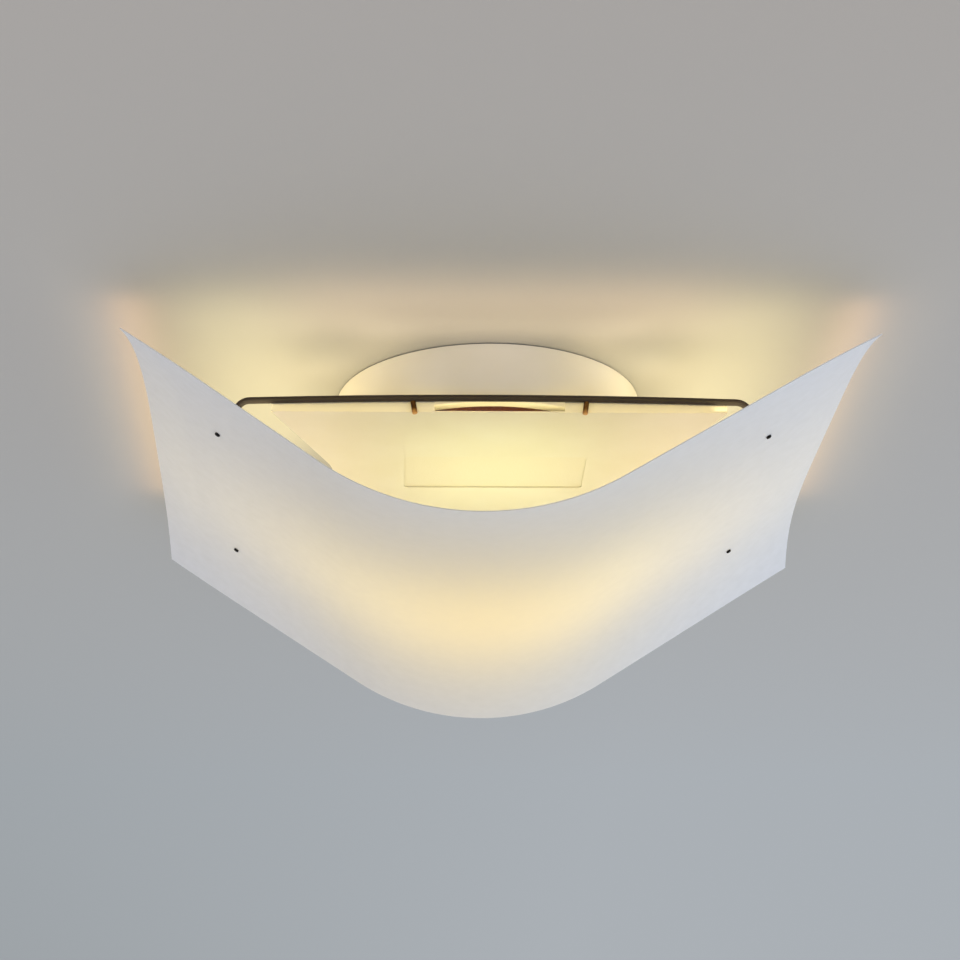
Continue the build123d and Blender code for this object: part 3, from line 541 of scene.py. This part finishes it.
# Painted highlight: the lowest 4 mm of each peg is painted bright gold, as if lit by the lamp
lit_lower_end = add(tree, "ShaderNodeMapRange", Value=height, From_Min=peg_end_z + lit_end_height,
            From_Max=peg_end_z)
stain = add(tree, "ShaderNodeTexNoise", Vector=where, Scale=1 / stain_size, Detail=3.0)
brown = add(tree, "ShaderNodeValToRGB", {"stops": ((0.3, "#50341C"), (0.7, "#8A643A"))}, Fac=stain)
bright = add(tree, "ShaderNodeMix", {"data_type": "RGBA"}, _0=lit_lower_end, _6=brown, _7=linear("#D8A870"))
rings = add(tree, "ShaderNodeTexWave", {"bands_direction": "Z"}, Vector=where,
            Scale=wave_repeat / ring_spacing).outputs["Fac"]
turned = add(tree, "ShaderNodeBsdfPrincipled", Metallic=1.0, Base_Color=bright.outputs[2],
             Roughness=add(tree, "ShaderNodeMapRange", Value=stain, To_Min=0.28, To_Max=0.45),
             Normal=add(tree, "ShaderNodeBump", Height=rings, Strength=0.15, Distance=0.03 * mm))
add(tree, "ShaderNodeOutputMaterial", Surface=turned)
print(peg_brass.name, "has", len(tree.nodes), "nodes")

# %% [markdown]
# ## Bare metals, plastics and ceramic
#
# Five more metals hold the light together: black oxide is dull and nearly black, zinc plate has grey
# crystals of 2 to 4 mm, bright turned steel is plain, brushed aluminium has lines along the sheet, and
# machined brass is yellow. The terminal block is milky moulded nylon, the cable bush is black rubber with a
# dusty bloom, and the lampholders and the lamp's caps are pressed steatite, an unglazed ceramic with a
# chalky skin and fine pores. All of them share one recipe, a tone, a roughness and a relief that follow
# the same grain, and they differ in its numbers.

# %% Grained finishes
def grained_finish(name, dark, light, grain, rough, relief, stretch=(1.0, 1.0, 1.0), **fixed):
    """A finish whose tone, roughness and relief follow one noise, with its sizes in millimetres."""
    material, tree, where = begin_finish(name)
    laid = add(tree, "ShaderNodeMapping", Vector=where, Scale=stretch)
    noise = add(tree, "ShaderNodeTexNoise", Vector=laid, Scale=1 / (grain * mm), Detail=3.0)
    shader = add(tree, "ShaderNodeBsdfPrincipled",
                 Base_Color=add(tree, "ShaderNodeValToRGB", {"stops": ((0.3, dark), (0.7, light))},
                                Fac=noise),
                 Roughness=add(tree, "ShaderNodeMapRange", Value=noise, To_Min=rough[0], To_Max=rough[1]),
                 Normal=add(tree, "ShaderNodeBump", Height=noise, Strength=0.25, Distance=relief * mm),
                 **fixed)
    add(tree, "ShaderNodeOutputMaterial", Surface=shader)
    print(name, "has a grain of", grain, "mm")
    return material


black_oxide = grained_finish("black_oxide_steel", "#1E1C1D", "#2C2A2C", 0.8, (0.4, 0.6), 0.02, Metallic=1.0)
zinc_plate = grained_finish("zinc_plated_steel", "#9FA3A6", "#C3C6C8", 3.0, (0.35, 0.5), 0.02, Metallic=1.0)
bright_steel = grained_finish("turned_bright_steel", "#A9A7A3", "#C9C7C3", 0.6, (0.22, 0.36), 0.02,
                              Metallic=1.0)
brushed_aluminium = grained_finish("brushed_aluminium", "#C2C3C5", "#DDDEE0", 0.4, (0.25, 0.4), 0.02,
                                   stretch=(0.03, 1.0, 1.0), Metallic=1.0)
machined_brass = grained_finish("machined_brass", "#B98F45", "#D9B566", 0.5, (0.25, 0.4), 0.02, Metallic=1.0)
moulded_nylon = grained_finish("moulded_natural_nylon", "#E4E0D2", "#EFECE2", 4.0, (0.35, 0.5), 0.03,
                               IOR=1.53)
cable_rubber = grained_finish("black_bush_rubber", "#1B1B1C", "#2B2A2A", 1.5, (0.6, 0.8), 0.05, IOR=1.52)
steatite = grained_finish("pressed_steatite", "#E3DDD0", "#F0EBE0", 0.7, (0.55, 0.75), 0.05, IOR=1.58)


# %% [markdown]
# ## Woven sleeves
#
# The leads by the hot lamp wear woven glass-fibre sleeves, whose strands cross every 1.2 mm. Two waves,
# one leaning to each side, give the crossing strands, and the higher of the two is the one on top.

# %% Sleeves
strand_spacing = 1.2 * mm


def sleeve_finish(name, base, fleck):
    """Woven glass-fibre sleeve: two sets of slanted strands that cross."""
    material, tree, where = begin_finish(name)
    strands = []
    for lean in (45.0, -45.0):
        laid = add(tree, "ShaderNodeMapping", Vector=where, Rotation=(0, 0, math.radians(lean)))
        wave = add(tree, "ShaderNodeTexWave", Vector=laid, Scale=wave_repeat / strand_spacing, Distortion=1.0)
        strands.append(wave.outputs["Fac"])
    weave = add(tree, "ShaderNodeMath", {"operation": "MAXIMUM"}, _0=strands[0], _1=strands[1])
    shader = add(tree, "ShaderNodeBsdfPrincipled", IOR=1.5,
                 Base_Color=add(tree, "ShaderNodeValToRGB", {"stops": ((0.4, base), (0.95, fleck))},
                                Fac=weave),
                 Roughness=add(tree, "ShaderNodeMapRange", Value=weave, To_Min=0.75, To_Max=0.55),
                 Normal=add(tree, "ShaderNodeBump", Height=weave, Strength=0.5, Distance=0.15 * mm))
    add(tree, "ShaderNodeOutputMaterial", Surface=shader)
    print(name, "has", len(tree.nodes), "nodes")
    return material


brown_sleeve = sleeve_finish("brown_woven_sleeve", "#4A2E1E", "#7A543A")
blue_sleeve = sleeve_finish("blue_woven_sleeve", "#1F4A78", "#4A7CAE")
earth_sleeve = sleeve_finish("green_and_yellow_sleeve", "#3E7A34", "#D8CB3E")

# %% [markdown]
# ## Glass, quartz and tungsten
#
# The pane is float glass etched on one side, which spreads the light so well that the pane looks like the
# warm white tray round it, only a touch brighter under the lamp. The lamp's tube is clear fused quartz, thin
# enough to see the filament through. The filament is tungsten wire at about 2900 kelvin, a warm white that
# gives its own light.

# %% Etched glass
frost_size = 1.1 * mm
glow_half_length, glow_half_width = 90 * mm, 45 * mm
etched_glass, tree, where = begin_finish("acid_etched_glass")
frost = add(tree, "ShaderNodeTexNoise", Vector=where, Scale=1 / frost_size, Detail=2.0)
from_lamp = add(tree, "ShaderNodeVectorMath", {"operation": "MULTIPLY_ADD"}, _0=where,
                _1=(1 / glow_half_length, 1 / glow_half_width, 0), _2=(-lamp_x / glow_half_length, 0, 0))
off_axis = add(tree, "ShaderNodeVectorMath", {"operation": "LENGTH"}, _0=from_lamp).outputs["Value"]
etched = add(tree, "ShaderNodeBsdfPrincipled", Roughness=0.5, IOR=1.52,
             Base_Color=add(tree, "ShaderNodeValToRGB", {"stops": ((0.3, "#ECE4CE"), (0.7, "#F1E9D8"))},
                            Fac=frost),
             Normal=add(tree, "ShaderNodeBump", Height=frost, Strength=0.2, Distance=0.04 * mm),
             Emission_Color=linear("#FFE7A6"),
             Emission_Strength=add(tree, "ShaderNodeMapRange", {"interpolation_type": "SMOOTHSTEP"},
                                   Value=off_axis, To_Min=0.012, To_Max=0.0))
add(tree, "ShaderNodeOutputMaterial", Surface=etched)
print(etched_glass.name, "has", len(tree.nodes), "nodes")

# %% Quartz
# Drawn quartz tube has faint wisps along it
wisp_size = 8 * mm
quartz, tree, where = begin_finish("clear_fused_quartz")
wisps = add(tree, "ShaderNodeTexNoise", Vector=where, Scale=1 / wisp_size, Detail=2.0)
clear = add(tree, "ShaderNodeValToRGB", {"stops": ((0.3, "#F4F6F6"), (0.7, "#FFFFFF"))}, Fac=wisps)
add(tree, "ShaderNodeOutputMaterial",
    Surface=add(tree, "ShaderNodeBsdfPrincipled", Base_Color=clear, Roughness=0.03, IOR=1.46,
                Transmission_Weight=1.0))
print(quartz.name, "has", len(tree.nodes), "nodes")

# %% Tungsten
# The wire is a little hotter in some turns than in others
hot_patch = 4 * mm
tungsten, tree, where = begin_finish("glowing_tungsten_wire")
heat = add(tree, "ShaderNodeTexNoise", Vector=where, Scale=1 / hot_patch, Detail=1.0)
glow = add(tree, "ShaderNodeValToRGB", {"stops": ((0.3, "#FFC47A"), (0.7, "#FFD9A0"))}, Fac=heat)
wire = add(tree, "ShaderNodeValToRGB", {"stops": ((0.3, "#8A8580"), (0.7, "#A39D96"))}, Fac=heat)
add(tree, "ShaderNodeOutputMaterial",
    Surface=add(tree, "ShaderNodeBsdfPrincipled", Base_Color=wire, Metallic=1.0, Roughness=0.4,
                Emission_Color=glow, Emission_Strength=12.0))
print(tungsten.name, "has", len(tree.nodes), "nodes")

# %% [markdown]
# ## Finishes for the measured pieces
#
# The measured pieces stay where they are, and their one material slot is filled with the finish that the
# record names for them.

# %% Give the measured pieces their finishes
finish_of_slot = {
    "white_paint": powder_coat, "dark_steel": rod_lacquer, "paper": shade_paper, "peg_brass": peg_brass,
    "black_screw": black_oxide, "zinc_steel": zinc_plate, "steel_screw": bright_steel,
    "aluminium": brushed_aluminium, "ceramic": steatite, "quartz": quartz, "tungsten": tungsten,
    "satin_glass": etched_glass, "brass": machined_brass, "rubber": cable_rubber, "nylon": moulded_nylon,
    "brown_sleeve": brown_sleeve, "blue_sleeve": blue_sleeve, "earth_sleeve": earth_sleeve,
}
slot_of_node = {subpart["node"]: subpart["material_slot"] for subpart in frame["record"]["subparts"]}
for node_name, slot_name in slot_of_node.items():
    nodes[node_name].data.materials.clear()
    nodes[node_name].data.materials.append(finish_of_slot[slot_name])
print("finished", len(slot_of_node), "measured pieces")

# %% [markdown]
# ## Growing small pieces with Geometry Nodes
#
# Nineteen screws hold the light together, and two springs and a filament are wound from wire. Each kind is
# one rule in several sizes, so each gets a Geometry Nodes tree that makes one piece from its sizes and puts
# it on every point of a small mesh of seats. Both trees start and end alike, so two helpers do that, and a
# third runs a tree and keeps its result as a plain mesh, because a modifier that is still live would be
# worked out again in every pose.

# %% Helpers for trees
def start_tree(name, sizes, counts):
    """A Geometry Nodes tree with seats, sizes, counts and a finish as inputs, and its input sockets."""
    tree = bpy.data.node_groups.new(name, "GeometryNodeTree")
    inputs = [("Seats", "Geometry"), ("Finish", "Material")]
    inputs += [(size, "Float") for size in sizes] + [(count, "Int") for count in counts]
    for socket_name, kind in inputs:
        tree.interface.new_socket(socket_name, in_out="INPUT", socket_type="NodeSocket" + kind)
    tree.interface.new_socket("Pieces", in_out="OUTPUT", socket_type="NodeSocketGeometry")
    return tree, add(tree, "NodeGroupInput").outputs


def end_tree(tree, given, piece, **placing):
    """Puts the piece on every seat, makes real geometry of it, gives it its finish and ends the tree."""
    placed = add(tree, "GeometryNodeInstanceOnPoints", Points=given["Seats"], Instance=piece, **placing)
    real = add(tree, "GeometryNodeRealizeInstances", Geometry=placed)
    dressed = add(tree, "GeometryNodeSetMaterial", Geometry=real, Material=given["Finish"])
    add(tree, "NodeGroupOutput", Pieces=dressed)
    print(tree.name, "has", len(tree.nodes), "nodes")


def grow(name, seats, tree, values):
    """An object with the plain mesh that a tree makes on a mesh of seats with the named inputs set."""
    host = bpy.data.objects.new(name, seats)
    bpy.context.scene.collection.objects.link(host)
    modifier = host.modifiers.new(name, "NODES")
    modifier.node_group = tree
    sockets = {item.name: item.identifier for item in tree.interface.items_tree if item.in_out == "INPUT"}
    for socket_name, value in values.items():
        modifier[sockets[socket_name]] = value
    grown = bpy.data.meshes.new_from_object(host.evaluated_get(bpy.context.evaluated_depsgraph_get()))
    host.modifiers.remove(modifier)
    # A boolean leaves an empty first slot
    if grown.materials[0] is None:
        grown.materials.pop(index=0)
    shade_with_edges(grown, sharp_degrees=35)
    host.data = grown
    print(name, len(grown.polygons), "faces")
    return host


# %% [markdown]
# ## Screws
#
# Slotted pan heads, turned from bar, with a rolled thread. Drawn by hand they would all be alike, and real
# screws never stop at the same angle. The tree turns the head from a cylinder whose top falls away to the
# rim, saws the slot with a boolean, and pulls the shank in along a helix. It turns every screw so that it
# looks along its seat's own direction, and then spins it by a random angle from a fixed seed.

# %% A tree for slotted screws
size_names = ("Head Radius", "Head Height", "Slot Width", "Slot Depth", "Shank Radius", "Shank Length",
              "Thread Pitch")
screw_tree, given = start_tree("slotted_screw", size_names, ("Seed",))
point = add(screw_tree, "ShaderNodeSeparateXYZ", Vector=add(screw_tree, "GeometryNodeInputPosition")).outputs

# The head, whose top falls away as the third power of the way to its rim
rim_power, rim_fall = 3.0, 0.35
blank = add(screw_tree, "GeometryNodeMeshCylinder", {"fill_type": "TRIANGLE_FAN"}, Vertices=32,
            Side_Segments=3, Fill_Segments=6, Radius=given["Head Radius"], Depth=given["Head Height"])
half_height = add(screw_tree, "ShaderNodeMath", {"operation": "MULTIPLY"}, _0=given["Head Height"], _1=0.5)
blank = add(screw_tree, "GeometryNodeTransform", Geometry=blank,
            Translation=add(screw_tree, "ShaderNodeCombineXYZ", Z=half_height))
in_plan = add(screw_tree, "ShaderNodeCombineXYZ", X=point["X"], Y=point["Y"])
off_centre = add(screw_tree, "ShaderNodeVectorMath", {"operation": "LENGTH"}, _0=in_plan).outputs["Value"]
to_rim = add(screw_tree, "ShaderNodeMath", {"operation": "DIVIDE"}, _0=off_centre, _1=given["Head Radius"])
steep = add(screw_tree, "ShaderNodeMath", {"operation": "POWER"}, _0=to_rim, _1=rim_power)
fall = add(screw_tree, "ShaderNodeMath", {"operation": "MULTIPLY"}, _0=steep, _1=point["Z"])
fall = add(screw_tree, "ShaderNodeMath", {"operation": "MULTIPLY"}, _0=fall, _1=-rim_fall)
head = add(screw_tree, "GeometryNodeSetPosition", Geometry=blank,
           Offset=add(screw_tree, "ShaderNodeCombineXYZ", Z=fall))

# The slot. The saw reaches past both sides of the head, and it is centred on the head's top
saw_reach = 2.4
saw_length = add(screw_tree, "ShaderNodeMath", {"operation": "MULTIPLY"}, _0=given["Head Radius"],
                 _1=saw_reach)
saw_height = add(screw_tree, "ShaderNodeMath", {"operation": "MULTIPLY"}, _0=given["Slot Depth"], _1=2.0)
saw = add(screw_tree, "GeometryNodeMeshCube",
          Size=add(screw_tree, "ShaderNodeCombineXYZ", X=saw_length, Y=given["Slot Width"], Z=saw_height))
saw = add(screw_tree, "GeometryNodeTransform", Geometry=saw,
          Translation=add(screw_tree, "ShaderNodeCombineXYZ", Z=given["Head Height"]))
slotted = add(screw_tree, "GeometryNodeMeshBoolean", {"operation": "DIFFERENCE", "solver": "EXACT"},
              _0=head, _1=saw)
print("the head takes", len(screw_tree.nodes), "nodes")

# %% The shank and its thread
rows_to_a_turn, thread_depth = 4.0, 0.14
turns = add(screw_tree, "ShaderNodeMath", {"operation": "DIVIDE"}, _0=given["Shank Length"],
            _1=given["Thread Pitch"])
rows_down = add(screw_tree, "ShaderNodeMath", {"operation": "MULTIPLY"}, _0=turns, _1=rows_to_a_turn)
bar = add(screw_tree, "GeometryNodeMeshCylinder", {"fill_type": "TRIANGLE_FAN"}, Vertices=16,
          Side_Segments=rows_down, Radius=given["Shank Radius"], Depth=given["Shank Length"])
angle = add(screw_tree, "ShaderNodeMath", {"operation": "ARCTAN2"}, _0=point["Y"], _1=point["X"])
angle = add(screw_tree, "ShaderNodeMath", {"operation": "DIVIDE"}, _0=angle, _1=math.tau)
climb = add(screw_tree, "ShaderNodeMath", {"operation": "DIVIDE"}, _0=point["Z"], _1=given["Thread Pitch"])
helix = add(screw_tree, "ShaderNodeMath", {"operation": "SUBTRACT"}, _0=climb, _1=angle)
# Ping-pong runs from 0 in the groove to 0.5 on the crest
ridge = add(screw_tree, "ShaderNodeMath", {"operation": "PINGPONG"}, _0=helix, _1=0.5)
pulled_in = add(screw_tree, "ShaderNodeMath", {"operation": "MULTIPLY_ADD"}, _0=ridge, _1=2 * thread_depth,
                _2=1 - thread_depth)
cut = add(screw_tree, "ShaderNodeVectorMath", {"operation": "SCALE"}, _0=in_plan, Scale=pulled_in)
moved = add(screw_tree, "ShaderNodeVectorMath", {"operation": "ADD"}, _0=cut,
            _1=add(screw_tree, "ShaderNodeCombineXYZ", Z=point["Z"]))
threaded = add(screw_tree, "GeometryNodeSetPosition", Geometry=bar, Position=moved)
down = add(screw_tree, "ShaderNodeMath", {"operation": "MULTIPLY"}, _0=given["Shank Length"], _1=-0.5)
shank = add(screw_tree, "GeometryNodeTransform", Geometry=threaded,
            Translation=add(screw_tree, "ShaderNodeCombineXYZ", Z=down))
# Join Geometry's one socket takes both pieces
screw = add(screw_tree, "GeometryNodeJoinGeometry", Geometry=slotted)
screw_tree.links.new(shank.outputs[0], screw.inputs[0])
print("a thread %.0f percent of the shank deep" % (100 * thread_depth))

# %% Turn the screws to their seats
looks = add(screw_tree, "GeometryNodeInputNamedAttribute", {"data_type": "FLOAT_VECTOR"}, Name="looks")
facing = add(screw_tree, "FunctionNodeAlignRotationToVector", {"axis": "Z"},
             Vector=looks.outputs["Attribute"])
stopped_at = add(screw_tree, "FunctionNodeRandomValue", {"data_type": "FLOAT"}, _2=0.0, _3=math.pi,
                 Seed=given["Seed"]).outputs[1]
spun = add(screw_tree, "FunctionNodeRotateRotation", {"rotation_space": "LOCAL"}, Rotation=facing,
           Rotate_By=add(screw_tree, "ShaderNodeCombineXYZ", Z=stopped_at))
end_tree(screw_tree, given, screw, Rotation=spun)

# %% [markdown]
# The sizes are those of the measured model, in millimetres: M2.5 screws hold the sheet and the pegs, M3
# screws the drum and the lampholders, and a slightly thicker one the earth lead. The terminal screws have no
# head: they are short studs, sawn straight across. A slot is about a sixth of its head across.

# %% Seats of the screws
# The rods' bent ends, where the sheet hangs, lean out by this much
leg_slope = math.radians(33)
outward = Vector((math.sin(leg_slope), 0, -math.cos(leg_slope)))
washer = 0.3
under_paper = Vector((pin_x, 0, pin_z)) + washer * outward
drum_radius = 126.5
# Each seat is a place and the direction that the head looks in
seats_of = {
    "paper_screws": [((x * under_paper.x, y * rod_y, under_paper.z), (x * outward.x, 0, outward.z))
                     for x in (-1, 1) for y in (-1, 1)],
    "drum_screws": [((drum_radius * math.cos(a), drum_radius * math.sin(a), -9.0),
                     (math.cos(a), math.sin(a), 0)) for a in (math.radians(25), math.radians(155))],
    "lampholder_screws": [((lamp_centre + side * 66.0, 0, -26.0), (0, 0, 1)) for side in (-1, 1)],
    "peg_screws": [((lamp_centre + x * 68.0, y * 129.0, -57.5), (0, -y, 0))
                   for x in (-1, 1) for y in (-1, 1)],
    "terminal_screws": [((lamp_centre + pole * 9.0, 90 + side * 5.0, -11.5), (0, 0, -1))
                        for pole in (-1, 0, 1) for side in (-1, 1)],
    "earth_screw": [((45.0, 88.0, -2.3), (0, 0, -1))],
}
print("screws", sum(len(seats) for seats in seats_of.values()))

# %% Screws on their seats
# In the order of the tree's sizes, in millimetres
screw_sizes = {
    "paper_screws": (2.2, 1.6, 0.7, 0.8, 1.25, 8.1, 0.6),
    "drum_screws": (3.0, 2.0, 0.9, 1.0, 1.5, 7.0, 0.7),
    "lampholder_screws": (2.6, 1.8, 0.8, 0.9, 1.5, 8.0, 0.7),
    "peg_screws": (2.3, 1.6, 0.7, 0.8, 1.25, 3.4, 0.6),
    "terminal_screws": (1.8, 1.6, 0.8, 0.65, 1.2, 0.4, 0.4),
    "earth_screw": (3.4, 2.0, 0.9, 1.0, 1.6, 2.3, 0.7),
}
for seed, (node_name, seats) in enumerate(seats_of.items()):
    seat_mesh = bpy.data.meshes.new(node_name + "_seats")
    seat_mesh.from_pydata([[c * mm for c in place] for place, _ in seats], [], [])
    looks = seat_mesh.attributes.new("looks", "FLOAT_VECTOR", "POINT")
    looks.data.foreach_set("vector", [c for _, axis in seats for c in axis])
    values = {name: size * mm for name, size in zip(size_names, screw_sizes[node_name])}
    values.update({"Seed": seed, "Finish": finish_of_slot[slot_of_node[node_name]]})
    piece = grow("slotted_" + node_name, seat_mesh, screw_tree, values)
    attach(piece, "fitting")
    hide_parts(node_name)

# %% [markdown]
# ## Springs and filament
#
# Behind each contact of the lamp a steel spring of 0.5 mm wire pushes the plunger out, and inside the lamp a
# tungsten filament of 0.2 mm wire is wound to a coil 82 mm long. Both are the same thing in two sizes: the
# tree winds a Curve Spiral and sweeps a round wire along it. A real spring's ends are ground flat, but
# neither end shows.

# %% A tree for coiled wire
coil_tree, given = start_tree("coiled_wire", ("Coil Radius", "Wire Radius", "Coil Length", "Turns"),
                              ("Steps", "Wire Sides"))
line = add(coil_tree, "GeometryNodeCurveSpiral", Resolution=given["Steps"], Rotations=given["Turns"],
           Start_Radius=given["Coil Radius"], End_Radius=given["Coil Radius"], Height=given["Coil Length"])
wire = add(coil_tree, "GeometryNodeCurvePrimitiveCircle", Resolution=given["Wire Sides"],
           Radius=given["Wire Radius"])
swept = add(coil_tree, "GeometryNodeCurveToMesh", Curve=line, Profile_Curve=wire, Fill_Caps=True)
# The spiral rises along Z, and every coil here lies along X
laid = add(coil_tree, "GeometryNodeTransform", Geometry=swept, Rotation=(0.0, math.radians(90), 0.0))
end_tree(coil_tree, given, laid)

# %% Wind the springs
lamp_z = -42.0


def wind(name, start_x, length, finish, coil_radius, wire_radius, turns, steps_to_a_turn, sides):
    """A coil along X on the lamp's axis, in millimetres over the wire, from its left end."""
    start = bpy.data.meshes.new(name + "_start")
    start.from_pydata([((start_x + wire_radius) * mm, 0, lamp_z * mm)], [], [])
    return grow(name, start, coil_tree, {
        "Coil Radius": (coil_radius - wire_radius) * mm, "Wire Radius": wire_radius * mm,
        "Coil Length": (length - 2 * wire_radius) * mm, "Turns": float(turns),
        "Steps": steps_to_a_turn, "Wire Sides": sides, "Finish": finish})


# At rest each spring fills the space between its plunger and the end of its bore
plunger_floor, bore_end = 62.9, 74.0
spring_length = bore_end - plunger_floor
for side_name, sign, start_x in (("right", 1, lamp_centre + plunger_floor),
                                 ("left", -1, lamp_centre - bore_end)):
    spring = wind(side_name + "_spring", start_x, spring_length, bright_steel, coil_radius=1.6,
                  wire_radius=0.25, turns=7, steps_to_a_turn=24, sides=8)
    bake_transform(spring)
    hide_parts("contact_springs")

# %% Wind the filament
filament_length = 82.0
filament = wind("coiled_filament", lamp_centre - filament_length / 2, filament_length, tungsten,
                coil_radius=0.6, wire_radius=0.1, turns=110, steps_to_a_turn=10, sides=5)
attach(filament, "lamp")
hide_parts("lamp_filament")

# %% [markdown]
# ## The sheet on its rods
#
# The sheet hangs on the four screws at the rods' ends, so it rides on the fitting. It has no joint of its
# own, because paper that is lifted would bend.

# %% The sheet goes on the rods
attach(paper_shade, "fitting")
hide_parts("paper_sheet")
print("the sheet has", len(paper_shade.data.polygons), "faces")
